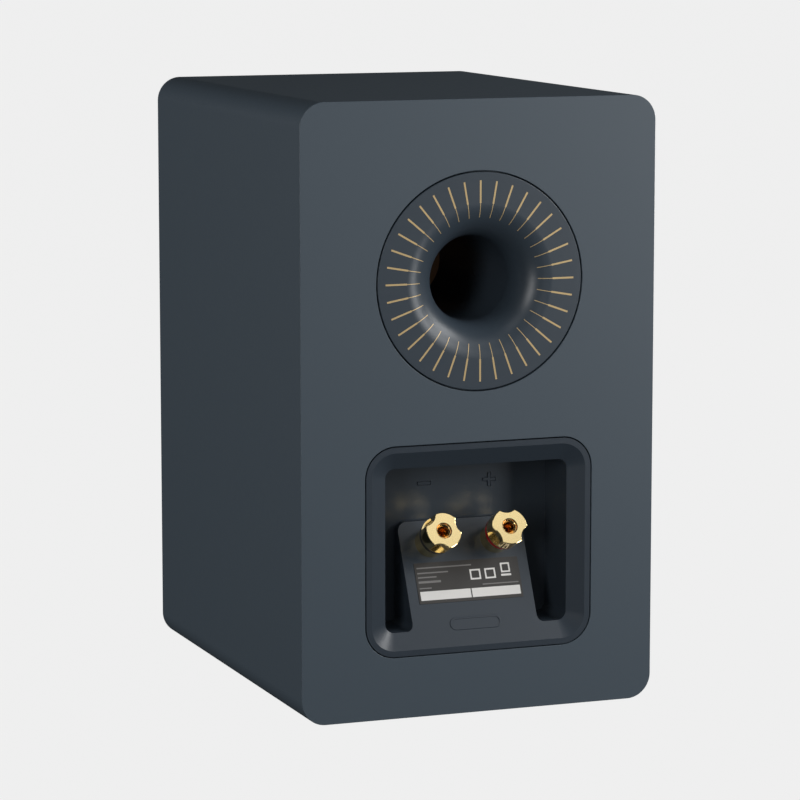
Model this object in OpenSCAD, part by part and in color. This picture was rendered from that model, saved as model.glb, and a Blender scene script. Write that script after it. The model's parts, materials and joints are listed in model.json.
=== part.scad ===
// Two-way bookshelf loudspeaker: painted fibreboard cabinet with a flared rear port, a recessed
// terminal cup with two screw-down binding posts, a cone woofer, a dome tweeter and a crossover.
// Frame: origin under the middle of the cabinet, +X right seen from the front, +Y to the rear, +Z up.

/* [Cabinet] */
// Width of the cabinet
cab_w = 150; // [135:1:220]
// Height of the cabinet
cab_h = 245; // [240:1:360]
// Depth of the cabinet
cab_d = 186; // [170:1:280]
// Radius of the four long edges
edge_r = 10; // [4:0.5:14]
// Thickness of the flanks, top and bottom
wall_t = 12; // [9:0.5:12]
// Thickness of the front baffle
baffle_t = 15; // [14:0.5:20]
// Thickness of the rear panel
rear_t = 12; // [9:0.5:16]
// Radius in the inner corners of the shell
inner_r = 2; // [1:0.5:4]
// Glue gap round a panel
glue_gap = 0.05; // [0.02:0.01:0.2]

/* [Port] */
// Height of the port axis above the base
port_z = 173.2; // [166:0.1:190]
// Outer radius of the flange
flange_r = 43.1; // [38:0.1:48]
// Radius where the flat of the flange turns into the flare
flat_r = 31; // [29:0.1:34]
// Bore radius of the tube
port_bore_r = 17; // [14:0.1:20]
// Wall of the tube and thickness of the flange
port_wall = 2.5; // [1.6:0.1:3]
// Length from the rear face to the inner end
port_len = 88; // [50:1:110]
// Gap round a sunk flange
port_gap = 0.6; // [0.2:0.1:1]
// Number of inlaid rays round the flange
ray_count = 36; // [12:1:48]
// Width of a ray
ray_w = 0.7; // [0.4:0.1:1.2]
// Outer end of a ray
ray_r = 39.8; // [36:0.1:41]
// Thickness of an inlay
ray_t = 0.3; // [0.2:0.1:0.6]
// Thickness of the foam gaskets
gasket_t = 1; // [0.5:0.1:2]

/* [Terminal cup] */
// Height of the middle of the cup above the base
cup_z = 67; // [60:0.5:72]
// Width of the cup's plate
plate_w = 95.8; // [90:0.1:104]
// Height of the cup's plate
plate_h = 83.9; // [80:0.1:92]
// Corner radius of the plate
plate_r = 12.3; // [6:0.1:16]
// Thickness of the plate
plate_t = 2.5; // [2:0.1:3]
// Gap round the plate
cup_gap = 0.5; // [0.2:0.1:1]
// Flat rim round the mouth
rim_w = 2.3; // [1:0.1:4]
// Width of the slanted lip
lip_w = 6.75; // [4:0.05:8]
// Corner radius of the recess
mouth_r = 3.8; // [2:0.1:8]
// Depth of the recess
cup_depth = 25; // [22:0.5:30]
// Wall of the cup
cup_wall = 2.5; // [1.5:0.1:3]
// Slope of the lip and of the tongue, degrees from the rear face
slope = 25.5; // [20:0.5:28]
// Width of the tongue
tongue_w = 53.4; // [48:0.1:60]
// Length of the tongue along its slope, from the rim
tongue_len = 52.5; // [50:0.5:54]
// Corner radius of the tongue
tongue_r = 4; // [2:0.5:6]
// Thickness of the tongue
tongue_t = 3; // [2:0.1:4]
// Width of the rating label
label_w = 44.8; // [30:0.1:48]
// Length of the rating label along the slope
label_len = 16.9; // [10:0.1:18]
// Distance from the rim to the label along the slope
label_at = 18.2; // [12:0.1:20]
// Thickness of the label
label_t = 0.2; // [0.1:0.05:0.4]
// Stroke of the raised polarity signs
sign_w = 1.2; // [0.8:0.1:2]
// Length of a sign's stroke
sign_len = 5.5; // [4:0.1:8]
// Height of the signs above the base
sign_z = 89.6; // [84:0.1:94]
// How far the signs stand up
sign_t = 0.7; // [0.2:0.1:0.8]

/* [Binding posts] */
// Half the distance between the posts
post_x = 14.1; // [9.5:0.05:16]
// Distance of the posts from the rim along the slope
post_at = 43.3; // [42:0.1:44]
// Radius of the stud
stud_r = 3; // [2.8:0.1:3.5]
// Radius of the plug socket
socket_r = 2; // [1.9:0.05:2.1]
// Depth of the plug socket's straight wall
socket_len = 15.5; // [14:0.1:16]
// Depth of the socket's flared mouth
funnel_len = 1.5; // [0.5:0.1:2]
// Radius of the flared mouth
funnel_r = 2.75; // [2.3:0.05:2.8]
// Radius of the hole for bare wire
wire_hole_r = 1.2; // [0.8:0.1:1.4]
// Radius of the fixed collar
collar_r = 6.2; // [5:0.1:7]
// Length of the fixed collar
collar_len = 8.5; // [6:0.1:10]
// Radius of the coloured ring
ring_r = 7.3; // [6.5:0.05:7.45]
// Thickness of the coloured ring
ring_t = 2.2; // [0.8:0.05:3]
// Radius of the knob
knob_r = 7.45; // [7:0.05:8]
// Length of the knob
knob_len = 7.05; // [6:0.1:9]
// Thickness of the full round at the knob's foot
knob_foot = 0.6; // [0.2:0.1:1.5]
// Radius of a knob flute
flute_r = 5.7; // [4:0.1:7]
// Depth of a knob flute
flute_depth = 1.65; // [0.8:0.05:2]
// Chamfer round the knob's outer end
knob_chamfer = 0.35; // [0.2:0.05:0.6]
// How far the stud's end lies below the knob's outer end
stud_recess = 0.65; // [0.3:0.05:1]
// Travel of the knob when it is unscrewed
post_travel = 5; // [3:0.5:5]
// Axial gap between collar, ring and knob
post_gap = 0.05; // [0.02:0.01:0.1]
// Radial gap of the turning knob on its stud
thread_gap = 0.05; // [0.02:0.01:0.1]
// How far the stud reaches into the cabinet
stud_in = 14; // [13:0.5:18]
// Thickness of the insulating washer behind the tongue
washer_t = 1; // [0.5:0.1:2]
// Thickness of the solder tag
tag_t = 0.6; // [0.4:0.1:1]
// Thickness of the nut
nut_t = 4; // [3:0.5:5]
// Width across the flats of the nut
nut_af = 10; // [9:0.5:11]

/* [Woofer] */
// Height of the woofer axis above the base
woofer_z = 76; // [74:0.5:80]
// Radius of the woofer's flange
woofer_r = 59; // [56:0.5:60]
// Thickness of the woofer's flange
woofer_flange_t = 4; // [3:0.5:5]
// Radius of the basket behind the flange
basket_r = 52; // [50:0.5:53]
// Wall of the basket
basket_t = 1.8; // [1.2:0.1:3]
// Depth from the baffle face to the motor
motor_at = 36; // [34:0.5:42]
// Radius at the cone's outer edge
cone_r = 40.5; // [38:0.5:42]
// Thickness of the cone
cone_t = 1; // [0.6:0.1:1.5]
// Radius of the dust cap
dust_cap_r = 17; // [14:0.5:20]
// Radius of the pole piece
pole_r = 12; // [10:0.1:13]
// Radial gap beside the voice coil
coil_gap = 0.35; // [0.3:0.05:0.6]
// Wall of the coil former
former_t = 0.3; // [0.2:0.05:0.5]
// Build of the voice coil's winding
coil_t = 0.6; // [0.3:0.05:1]
// Radius of the ferrite magnet
magnet_r = 34; // [30:0.5:36]
// Thickness of the ferrite magnet
magnet_t = 13; // [10:0.5:16]
// Thickness of the motor's plates
plate_iron_t = 4; // [3:0.5:6]

/* [Tweeter] */
// Height of the tweeter axis above the base
tweeter_z = 186; // [185:0.5:188]
// Radius of the tweeter's faceplate
tweeter_r = 42; // [38:0.5:43]
// Thickness of the faceplate
face_t = 4; // [3:0.5:5]
// Radius of the faceplate's throat
throat_r = 17; // [16:0.5:18]
// Radius of the dome
dome_r = 12.8; // [12:0.1:13]
// Rise of the dome
dome_h = 3.8; // [3:0.1:5]
// Radius of the tweeter's motor
tweeter_motor_r = 27; // [25:0.5:30]
// Length of the rear chamber
chamber_len = 12; // [8:0.5:16]

/* [Crossover] */
// Width of the board
board_w = 88; // [84:1:100]
// Depth of the board
board_d = 80; // [76:1:90]
// Thickness of the board
board_t = 1.6; // [1:0.1:2.4]
// Distance of the board's front edge from the middle of the cabinet
board_front = 30; // [26:1:32]
// Height of the standoffs
standoff_h = 6; // [4:0.5:10]
// Radius of an internal wire
wire_r = 1.1; // [0.8:0.1:1.5]
// Thickness of the damping felt
felt_t = 8; // [4:0.5:10]

/* [Hidden] */
$fn = 96;
cut = 1;             // how far a cutting tool runs past the face it cuts
skin = 0.01;         // thinnest slice used to start a blend

// cabinet
inside_w = cab_w - 2 * wall_t;
inside_h = cab_h - 2 * wall_t;
mid_z = cab_h / 2;
rear_y = cab_d / 2;

// port
flare_r = flat_r - port_bore_r;
port_seat = port_wall + gasket_t;
gasket_inset = 0.6;

// terminal cup
lip_d = lip_w * tan(slope);
mouth_w = plate_w - 2 * (rim_w + lip_w);
mouth_h = plate_h - 2 * (rim_w + lip_w);
rim_z = cup_z - plate_h / 2 + rim_w;
mouth_z = rim_z + lip_w;
body_w = mouth_w + 2 * cup_wall;
body_h = mouth_h + 2 * cup_wall;
tongue_top = rim_z + tongue_len * cos(slope);
cup_seat = plate_t + gasket_t;

// binding posts, measured out from the tongue
ring_at = collar_len + post_gap;
knob_at = ring_at + ring_t + post_gap;
stud_top = knob_at + knob_len - stud_recess;
socket_top = stud_top - funnel_len;
wire_hole_at = knob_at + 0.6 * post_travel;
stack_washer = -tongue_t - washer_t;
stack_tag = stack_washer - tag_t;
stack_nut = stack_tag - nut_t;
tag_reach = 9;
tag_w = 3.6;
nut_slack = 0.05;

// woofer, measured in from the baffle face
seat_at = 5;
surround_t = 0.8;
land_w = 3;
land_r = basket_r - 1.5;
roll_r = (land_r - land_w - cone_r) / 2;
former_r = pole_r + coil_gap - 0.05;
coil_r = former_r + former_t;
gap_r = coil_r + coil_t + coil_gap;
cone_throat_at = 24;
spider_at = motor_at - 8;
spider_t = 0.5;
spider_r = 37;
spider_seat_r = 32;
spider_waves = 7;
wave_pitch = 2.1;
wave_h = 1.1;
skirt_at = 7;
bowl_end_r = 37.5;
bowl_end_at = motor_at - 3;
hub_r = 24;
hub_t = 1.6;
window_w = 26;
window_from = 9.5;
window_len = 15;
magnet_hole_r = pole_r + 5;
vent_r = 4;
cone_lip = 3;
cone_hem = 3.6;
cap_rise = 5;
cap_t = 0.7;
woofer_screw_r = (woofer_r + basket_r) / 2 + 0.4;
woofer_cut_r = basket_r + 0.6;
coil_len = 10;
cap_sink = 0.2;
boss_r = basket_r - 3.2;
boss_w = 12;
strip_t = 1.5;
strip_w = 18;
tab_w = 3;
tab_t = 0.8;
tab_len = 15;

// tweeter, measured in from the baffle face
dome_at = face_t + 1.6;
dome_land = 3.2;
tweeter_plate_at = dome_at + 1.4;
tweeter_screw_r = (tweeter_r + throat_r) / 2 + 7;
tweeter_cut_r = tweeter_motor_r + 1;
tweeter_gap = 0.35;
tweeter_former_r = dome_r - 0.4;
tweeter_pole_r = tweeter_former_r - tweeter_gap;
tweeter_coil_t = 0.5;
chamber_r = tweeter_motor_r - 4;
tweeter_magnet_t = 9;
mouth_of_face = throat_r + 10;
tweeter_iron_t = 3;
dome_t = 0.4;

// screws
screw_r = 1.5;
screw_head_r = 2.7;
screw_head_t = 1.8;
screw_len = 13;
tip_len = 2;
tip_r = 0.3;
recess_deep = 0.9;

// crossover
floor_z = wall_t;
board_z = floor_z + standoff_h;
board_top = board_z + board_t;
board_mid_y = board_d / 2 - board_front;
standoff_r = 3.5;
board_hole_inset = 5;
tip_gap = 0.2;

// routes of the wires inside the cabinet, from the board or the tags to the drivers
input_route = [[-5.1, 69.5, 64.1], [-5.2, 64, 60], [-9, 56, 44], [-17, 45, 31], [-18, 42, 19.9]];
woofer_route = [[0, -22, 19.9], [2, -24, 30], [20, -30, 44], [40, -32, 55], [51, -40, 64],
                [51, -52, 70], [50, -62.5, 71]];
tweeter_route = [[0, 0, 19.9], [1, -1, 32], [14, -6, 64], [34, -12, 112], [44, -22, 150],
                 [36, -42, 178], [26, -54.2, 182]];
// how far the second wire of a pair lies from the first, at the start and at the end
input_spread = [[10.2, 0, 0], [9, 0, 0]];
woofer_spread = [[-6, 0, 0], [0, 0, 10]];
tweeter_spread = [[0, 7, 0], [0, 0, 8]];

// ---------------------------------------------------------------- shared shapes

// Rounded rectangle about the origin, with true arcs
module rounded_rect(w, h, r) {
    square([w - 2 * r, h], center = true);
    square([w, h - 2 * r], center = true);
    for (x = [-1, 1], y = [-1, 1]) translate([x * (w / 2 - r), y * (h / 2 - r)]) circle(r);
}

// Children drawn on the rear face: x across, y up, z into the cabinet
module from_rear(z = 0) {
    translate([0, rear_y, z]) rotate([90, 0, 0]) children();
}

// Children drawn on the baffle face: z into the cabinet
module from_front(z = 0) {
    translate([0, -cab_d / 2, z]) rotate([-90, 0, 0]) children();
}

// Children drawn on the tongue: z straight out of it, y down its slope
module on_tongue(x, along) {
    translate([x, rear_y - along * sin(slope), rim_z + along * cos(slope)])
        rotate([slope - 90, 0, 0]) children();
}

module on_posts() {
    for (side = [-1, 1]) on_tongue(side * post_x, post_at) children();
}

module tube(r_out, r_in, h) {
    difference() {
        cylinder(r = r_out, h = h);
        translate([0, 0, -cut]) cylinder(r = r_in, h = h + 2 * cut);
    }
}

// Children repeated round the z axis
module ring_of(count, radius, start = 0) {
    for (i = [0 : count - 1]) rotate(start + i * 360 / count) translate([radius, 0, 0]) children();
}

module cross_recess(h) {
    for (a = [0, 90]) rotate(a) translate([-1.6, -0.35, 0]) cube([3.2, 0.7, h]);
}

// Countersunk wood screw with a cross recess, head flush at z = 0, pointing along +z
module screw(len) {
    difference() {
        union() {
            cylinder(r1 = screw_head_r, r2 = screw_r, h = screw_head_t);
            cylinder(r = screw_r, h = len - tip_len);
            translate([0, 0, len - tip_len]) cylinder(r1 = screw_r, r2 = tip_r, h = tip_len);
        }
        translate([0, 0, -cut]) cross_recess(cut + recess_deep);
    }
}

// Room for a screw: the countersink and the shank
module screw_room(len) {
    translate([0, 0, -skin]) cylinder(r = screw_head_r + 0.1, h = skin);
    cylinder(r1 = screw_head_r + 0.1, r2 = screw_r, h = screw_head_t);
    translate([0, 0, -skin]) cylinder(r = screw_r, h = len);
}

// ---------------------------------------------------------------- swept wires

function unit(v) = v / norm(v);
function blend_point(a, b, c, d, t) =
    0.5 * (2 * b + (c - a) * t + (2 * a - 5 * b + 4 * c - d) * t * t
           + (3 * b - a - 3 * c + d) * t * t * t);
function smooth_route(p, steps) = [
    for (i = [0 : len(p) - 2], s = [0 : steps - 1])
        blend_point(p[max(i - 1, 0)], p[i], p[i + 1], p[min(i + 2, len(p) - 1)], s / steps),
    p[len(p) - 1]];

module wire(points, r, sides = 8) {
    path = smooth_route(points, 3);
    n = len(path);
    aside = unit([0.55, -0.8, 0.15]);
    rings = [for (i = [0 : n - 1])
        let (along = unit(path[min(i + 1, n - 1)] - path[max(i - 1, 0)]),
             u = unit(cross(along, aside)), v = cross(along, u))
        for (k = [0 : sides - 1]) path[i] + r * (cos(k * 360 / sides) * u + sin(k * 360 / sides) * v)];
    polyhedron(rings, concat(
        [[for (k = [0 : sides - 1]) sides - 1 - k]],
        [[for (k = [0 : sides - 1]) (n - 1) * sides + k]],
        [for (i = [0 : n - 2], k = [0 : sides - 1])
            let (a = i * sides + k, b = i * sides + (k + 1) % sides)
            [b, a, a + sides, b + sides]]));
}

module wire_pair(route, spread) {
    last = len(route) - 1;
    wire(route, wire_r);
    wire([for (i = [0 : last]) route[i] + spread[0] * (1 - i / last) + spread[1] * i / last], wire_r);
}

// ---------------------------------------------------------------- cabinet

module cabinet_shell() {
    color([0.25, 0.28, 0.31]) translate([0, rear_y, mid_z]) rotate([90, 0, 0])
        linear_extrude(cab_d) difference() {
            rounded_rect(cab_w, cab_h, edge_r);
            rounded_rect(inside_w, inside_h, inner_r);
        }
}

module panel(t) {
    translate([0, inside_h / 2 + wall_t, 0]) linear_extrude(t)
        rounded_rect(inside_w - 2 * glue_gap, inside_h - 2 * glue_gap, inner_r);
}

module front_baffle() {
    color([0.25, 0.28, 0.31]) difference() {
        from_front() translate([0, -2 * mid_z, 0]) panel(baffle_t);
        from_front(woofer_z) {
            translate([0, 0, -cut]) cylinder(r = woofer_r + 0.3, h = cut + woofer_flange_t + gasket_t);
            cylinder(r = woofer_cut_r, h = baffle_t + cut);
            ring_of(4, woofer_screw_r, 45) screw_room(screw_len);
        }
        from_front(tweeter_z) {
            translate([0, 0, -cut]) cylinder(r = tweeter_r + 0.3, h = cut + face_t + gasket_t);
            cylinder(r = tweeter_cut_r, h = baffle_t + cut);
            ring_of(4, tweeter_screw_r, 45) screw_room(screw_len);
        }
    }
}

module rear_panel() {
    color([0.29, 0.32, 0.35]) from_rear() difference() {
        panel(rear_t);
        translate([0, port_z, 0]) {
            translate([0, 0, -cut]) cylinder(r = flange_r + port_gap, h = cut + port_seat);
            cylinder(r = flat_r + port_gap, h = rear_t + cut);
        }
        translate([0, cup_z, 0]) {
            translate([0, 0, -cut]) linear_extrude(cut + cup_seat)
                rounded_rect(plate_w + 2 * cup_gap, plate_h + 2 * cup_gap, plate_r + cup_gap);
            linear_extrude(rear_t + cut)
                rounded_rect(body_w + 2 * cup_gap, body_h + 2 * cup_gap, mouth_r + cup_wall);
        }
    }
}

// ---------------------------------------------------------------- port

module ray_bars(t) {
    ring_of(ray_count, 0) translate([flat_r, -ray_w / 2, -t]) cube([ray_r - flat_r, ray_w, 2 * t]);
}

module port_tube() {
    color([0.2, 0.23, 0.26]) from_rear(port_z) difference() {
        rotate_extrude() {
            translate([flat_r, 0]) square([flange_r - flat_r, port_wall]);
            translate([port_bore_r, flare_r]) square([port_wall, port_len - flare_r]);
            translate([flat_r, flare_r]) intersection() {
                difference() {
                    circle(flare_r);
                    circle(flare_r - port_wall);
                }
                translate([-flare_r, -flare_r]) square(flare_r);
            }
        }
        ray_bars(ray_t);
    }
}

module port_rays() {
    color([0.72, 0.6, 0.42]) from_rear(port_z)
        intersection() {
            ray_bars(ray_t);
            cylinder(r = flange_r, h = ray_t);
        }
}

module port_gasket() {
    color([0.05, 0.05, 0.05]) from_rear(port_z) translate([0, 0, port_wall])
        tube(flange_r - gasket_inset, flat_r + port_gap + gasket_inset, gasket_t);
}

// ---------------------------------------------------------------- terminal cup

// Side view of what lies behind the sloped face, as [depth, height], extruded across
module behind_slope(w, shift, low, high, depth) {
    translate([-w / 2, 0, 0]) rotate([90, 0, 90]) linear_extrude(w) polygon([
        [rear_y - shift - (low - rim_z) * tan(slope), low],
        [rear_y - shift - (high - rim_z) * tan(slope), high],
        [rear_y - depth, high],
        [rear_y - depth, low]]);
}

module tongue() {
    intersection() {
        behind_slope(tongue_w, 0, mouth_z, tongue_top, cup_depth);
        from_rear() linear_extrude(cup_depth) translate([0, (tongue_top + cup_z) / 2 - plate_h / 2])
            rounded_rect(tongue_w, tongue_top - cup_z + plate_h, tongue_r);
    }
}

module cup_recess() {
    from_rear(cup_z) {
        hull() {
            translate([0, 0, -cut]) linear_extrude(cut, $fn = 32)
                rounded_rect(plate_w - 2 * rim_w, plate_h - 2 * rim_w, plate_r - rim_w);
            translate([0, 0, lip_d]) linear_extrude(skin, $fn = 32)
                rounded_rect(mouth_w, mouth_h, mouth_r);
        }
        linear_extrude(cup_depth) rounded_rect(mouth_w, mouth_h, mouth_r);
    }
}

module polarity_signs() {
    from_rear(sign_z) translate([0, 0, cup_depth - sign_t]) for (side = [-1, 1])
        translate([side * post_x, 0, 0]) linear_extrude(sign_t + 0.5 * cup_wall) {
            rounded_rect(sign_len, sign_w, sign_w / 2 - skin);
            if (side < 0) rounded_rect(sign_w, sign_len, sign_w / 2 - skin);
        }
}

module terminal_cup() {
    color([0.19, 0.22, 0.25]) {
        difference() {
            from_rear(cup_z) {
                linear_extrude(plate_t) rounded_rect(plate_w, plate_h, plate_r);
                linear_extrude(cup_depth + cup_wall) rounded_rect(body_w, body_h, mouth_r + cup_wall);
            }
            difference() {
                cup_recess();
                tongue();
                polarity_signs();
            }
            behind_slope(tongue_w - 2 * cup_wall, tongue_t / cos(slope), mouth_z - cup_wall - cut,
                         tongue_top - cup_wall, cup_depth + cup_wall + cut);
            on_posts() translate([0, 0, -2 * tongue_t])
                cylinder(r = stud_r + thread_gap, h = 3 * tongue_t);
        }
    }
}

module terminal_gasket() {
    color([0.05, 0.05, 0.05]) from_rear(cup_z) translate([0, 0, plate_t]) linear_extrude(gasket_t)
        difference() {
            rounded_rect(plate_w - 2 * gasket_inset, plate_h - 2 * gasket_inset, plate_r);
            rounded_rect(body_w + 2 * cup_gap, body_h + 2 * cup_gap, mouth_r + cup_wall);
        }
}

module rating_label() {
    color([0.24, 0.24, 0.25]) on_tongue(0, label_at + label_len / 2)
        linear_extrude(label_t) rounded_rect(label_w, label_len, 0.8);
}

// ---------------------------------------------------------------- binding posts

module post_studs() {
    color([0.75, 0.5, 0.3]) on_posts() difference() {
        translate([0, 0, -stud_in]) cylinder(r = stud_r, h = stud_in + stud_top);
        translate([0, 0, socket_top - socket_len]) cylinder(r = socket_r, h = socket_len + skin);
        translate([0, 0, socket_top]) cylinder(r1 = socket_r, r2 = funnel_r, h = funnel_len);
        translate([0, 0, stud_top - skin]) cylinder(r = funnel_r, h = cut);
        translate([0, 0, wire_hole_at]) rotate([0, 90, 0])
            cylinder(r = wire_hole_r, h = 3 * stud_r, center = true);
    }
}

module post_collars() {
    color([0.83, 0.62, 0.27]) on_posts() tube(collar_r, stud_r + thread_gap, collar_len);
}

module post_washers() {
    color([0.15, 0.15, 0.15]) on_posts() translate([0, 0, stack_washer])
        tube(collar_r, stud_r + thread_gap, washer_t);
}

module solder_tags() {
    color([0.8, 0.78, 0.7]) for (side = [-1, 1]) on_tongue(side * post_x, post_at)
        translate([0, 0, stack_tag]) linear_extrude(tag_t) difference() {
            union() {
                circle(nut_af / 2);
                translate([-side * tag_reach / 2, 0]) square([tag_reach, tag_w], center = true);
                translate([-side * tag_reach, 0]) circle(tag_w / 2);
            }
            circle(stud_r + thread_gap);
        }
}

module post_nuts() {
    color([0.8, 0.78, 0.6]) on_posts() translate([0, 0, stack_nut]) difference() {
        cylinder(r = nut_af / sqrt(3), h = nut_t, $fn = 6);
        translate([0, 0, -cut]) cylinder(r = stud_r + nut_slack, h = nut_t + 2 * cut);
    }
}

module post_ring(side) {
    on_tongue(side * post_x, post_at) translate([0, 0, ring_at])
        tube(ring_r, stud_r + thread_gap, ring_t);
}

// Knob with three flutes; turn sets where the first flute points
module post_knob(side, turn) {
    on_tongue(side * post_x, post_at) translate([0, 0, knob_at]) difference() {
        union() {
            cylinder(r = knob_r, h = knob_len - knob_chamfer);
            translate([0, 0, knob_len - knob_chamfer])
                cylinder(r1 = knob_r, r2 = knob_r - knob_chamfer, h = knob_chamfer);
        }
        translate([0, 0, -cut]) cylinder(r = stud_r + thread_gap, h = knob_len + 2 * cut);
        translate([0, 0, knob_foot]) ring_of(3, knob_r - flute_depth + flute_r, turn)
            cylinder(r = flute_r, h = knob_len);
    }
}

module ring_negative() {
    color([0.08, 0.08, 0.09]) post_ring(1);
}

module ring_positive() {
    color([0.7, 0.1, 0.08]) post_ring(-1);
}

module knob_negative() {
    color([0.85, 0.65, 0.3]) post_knob(1, 75);
}

module knob_positive() {
    color([0.85, 0.65, 0.3]) post_knob(-1, 30);
}

// ---------------------------------------------------------------- woofer

module woofer_basket() {
    bowl_in = basket_r - basket_t;
    bowl_slope = (basket_r - bowl_end_r) / (bowl_end_at - skirt_at);
    ledge_at = spider_at + spider_t;
    ledge_r = bowl_in - bowl_slope * (ledge_at - skirt_at);
    color([0.12, 0.12, 0.13]) from_front(woofer_z) difference() {
        union() {
            rotate_extrude() polygon([
                [land_r, 0], [woofer_r, 0], [woofer_r, woofer_flange_t],
                [basket_r, woofer_flange_t], [basket_r, skirt_at], [bowl_end_r, bowl_end_at],
                [bowl_end_r, motor_at], [hub_r, motor_at], [hub_r, motor_at - hub_t],
                [spider_seat_r, motor_at - hub_t], [spider_seat_r, ledge_at],
                [ledge_r, ledge_at], [bowl_in, skirt_at], [land_r - land_w, skirt_at],
                [land_r - land_w, seat_at], [land_r, seat_at]]);
            translate([boss_r - 5, -boss_w / 2, 2 * skirt_at]) cube([5, boss_w, 8]);
        }
        for (i = [0 : 5]) rotate(30 + 60 * i) translate([hub_r, -window_w / 2, window_from])
            cube([woofer_r - hub_r, window_w, window_len]);
        ring_of(4, woofer_screw_r, 45) screw_room(screw_len);
    }
}

module woofer_gasket() {
    color([0.06, 0.06, 0.06]) from_front(woofer_z) translate([0, 0, woofer_flange_t]) difference() {
        tube(woofer_r - 0.2, woofer_cut_r, gasket_t);
        ring_of(4, woofer_screw_r, 45) translate([0, 0, -cut]) cylinder(r = screw_r, h = 4 * cut);
    }
}

module woofer_surround() {
    roll_mid = cone_r + roll_r;
    color([0.07, 0.07, 0.07]) from_front(woofer_z) rotate_extrude() {
        translate([land_r - land_w - skin, seat_at - surround_t])
            square([land_w + skin - 0.1, surround_t]);
        translate([cone_r - cone_lip, seat_at - surround_t]) square([cone_lip + skin, surround_t]);
        translate([roll_mid, seat_at]) intersection() {
            difference() {
                circle(roll_r + surround_t);
                circle(roll_r);
            }
            translate([-2 * roll_r, -2 * roll_r]) square([4 * roll_r, 2 * roll_r]);
        }
    }
}

module woofer_cone() {
    color([0.1, 0.1, 0.11]) from_front(woofer_z) rotate_extrude() polygon([
        [cone_r, seat_at], [cone_r, seat_at + cone_t],
        [cone_r - cone_lip, seat_at + cone_t + cone_hem - cone_lip],
        [coil_r + skin, cone_throat_at + cone_t], [coil_r + skin, cone_throat_at],
        [cone_r - cone_hem, seat_at]]);
}

module woofer_dust_cap() {
    // the cap sits on the cone where the cone has the cap's radius
    ball = (dust_cap_r * dust_cap_r + cap_rise * cap_rise) / (2 * cap_rise);
    rim_at = cone_throat_at
        - (dust_cap_r - coil_r) * (cone_throat_at - seat_at) / (cone_r - cone_hem - coil_r);
    color([0.09, 0.09, 0.1]) from_front(woofer_z) translate([0, 0, rim_at + cap_sink]) rotate_extrude()
        intersection() {
            translate([0, ball - cap_rise]) difference() {
                circle(ball);
                circle(ball - cap_t);
            }
            translate([0, -cap_rise - cut]) square([dust_cap_r, cap_rise + cut]);
        }
}

module woofer_former() {
    color([0.75, 0.6, 0.3]) from_front(woofer_z) translate([0, 0, cone_throat_at - 1])
        tube(coil_r, former_r, motor_at - cone_throat_at + 9);
}

module woofer_coil() {
    color([0.72, 0.4, 0.2]) from_front(woofer_z)
        translate([0, 0, motor_at + plate_iron_t / 2 - coil_len / 2])
            tube(coil_r + coil_t, coil_r + skin, coil_len);
}

function wave_r(i) = coil_r + 2 + i * wave_pitch;

module woofer_spider() {
    color([0.75, 0.55, 0.25]) from_front(woofer_z) rotate_extrude() polygon(concat(
        [[coil_r + skin, spider_at]],
        [for (i = [1 : spider_waves]) [wave_r(i), spider_at - (i % 2) * wave_h]],
        [[spider_seat_r, spider_at], [spider_r, spider_at], [spider_r, spider_at + spider_t],
         [spider_seat_r, spider_at + spider_t]],
        [for (i = [spider_waves : -1 : 1]) [wave_r(i), spider_at + spider_t - (i % 2) * wave_h]],
        [[coil_r + skin, spider_at + spider_t]]));
}

module woofer_top_plate() {
    color([0.4, 0.4, 0.42]) from_front(woofer_z) translate([0, 0, motor_at])
        tube(magnet_r - 1, gap_r, plate_iron_t);
}

module woofer_magnet() {
    color([0.15, 0.15, 0.15]) from_front(woofer_z) translate([0, 0, motor_at + plate_iron_t])
        tube(magnet_r, magnet_hole_r, magnet_t);
}

module woofer_yoke() {
    back_at = motor_at + plate_iron_t + magnet_t;
    color([0.4, 0.4, 0.42]) from_front(woofer_z) difference() {
        union() {
            translate([0, 0, back_at]) cylinder(r = magnet_r - 1, h = plate_iron_t);
            translate([0, 0, motor_at]) cylinder(r = pole_r, h = back_at - motor_at + skin);
        }
        translate([0, 0, motor_at - cut]) cylinder(r = vent_r, h = magnet_t + 2 * plate_iron_t + 2 * cut);
    }
}

module woofer_terminals() {
    color([0.5, 0.35, 0.2]) from_front(woofer_z) {
        translate([boss_r, -strip_w / 2, 13]) cube([strip_t, strip_w, 10]);
        for (side = [-1, 1]) translate([boss_r + strip_t, side * 5 - tab_w / 2, 15])
            cube([tab_t, tab_w, tab_len]);
    }
}

module woofer_screws() {
    color([0.2, 0.2, 0.2]) from_front(woofer_z) ring_of(4, woofer_screw_r, 45) screw(screw_len);
}

// ---------------------------------------------------------------- tweeter

module tweeter_faceplate() {
    color([0.12, 0.12, 0.13]) from_front(tweeter_z) difference() {
        cylinder(r = tweeter_r, h = face_t);
        translate([0, 0, -skin]) cylinder(r1 = mouth_of_face, r2 = throat_r, h = face_t + 2 * skin);
        ring_of(4, tweeter_screw_r, 45) screw_room(screw_len);
    }
}

module tweeter_gasket() {
    color([0.06, 0.06, 0.06]) from_front(tweeter_z) translate([0, 0, face_t]) difference() {
        tube(tweeter_r - 0.2, tweeter_cut_r, gasket_t);
        ring_of(4, tweeter_screw_r, 45) translate([0, 0, -cut]) cylinder(r = screw_r, h = 4 * cut);
    }
}

module tweeter_dome() {
    ball = (dome_r * dome_r + dome_h * dome_h) / (2 * dome_h);
    color([0.08, 0.08, 0.09]) from_front(tweeter_z) translate([0, 0, dome_at]) rotate_extrude()
        intersection() {
            translate([0, ball - dome_h]) difference() {
                circle(ball);
                circle(ball - dome_t);
            }
            translate([0, -dome_h - 1]) square([dome_r, dome_h + 1]);
        }
}

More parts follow.
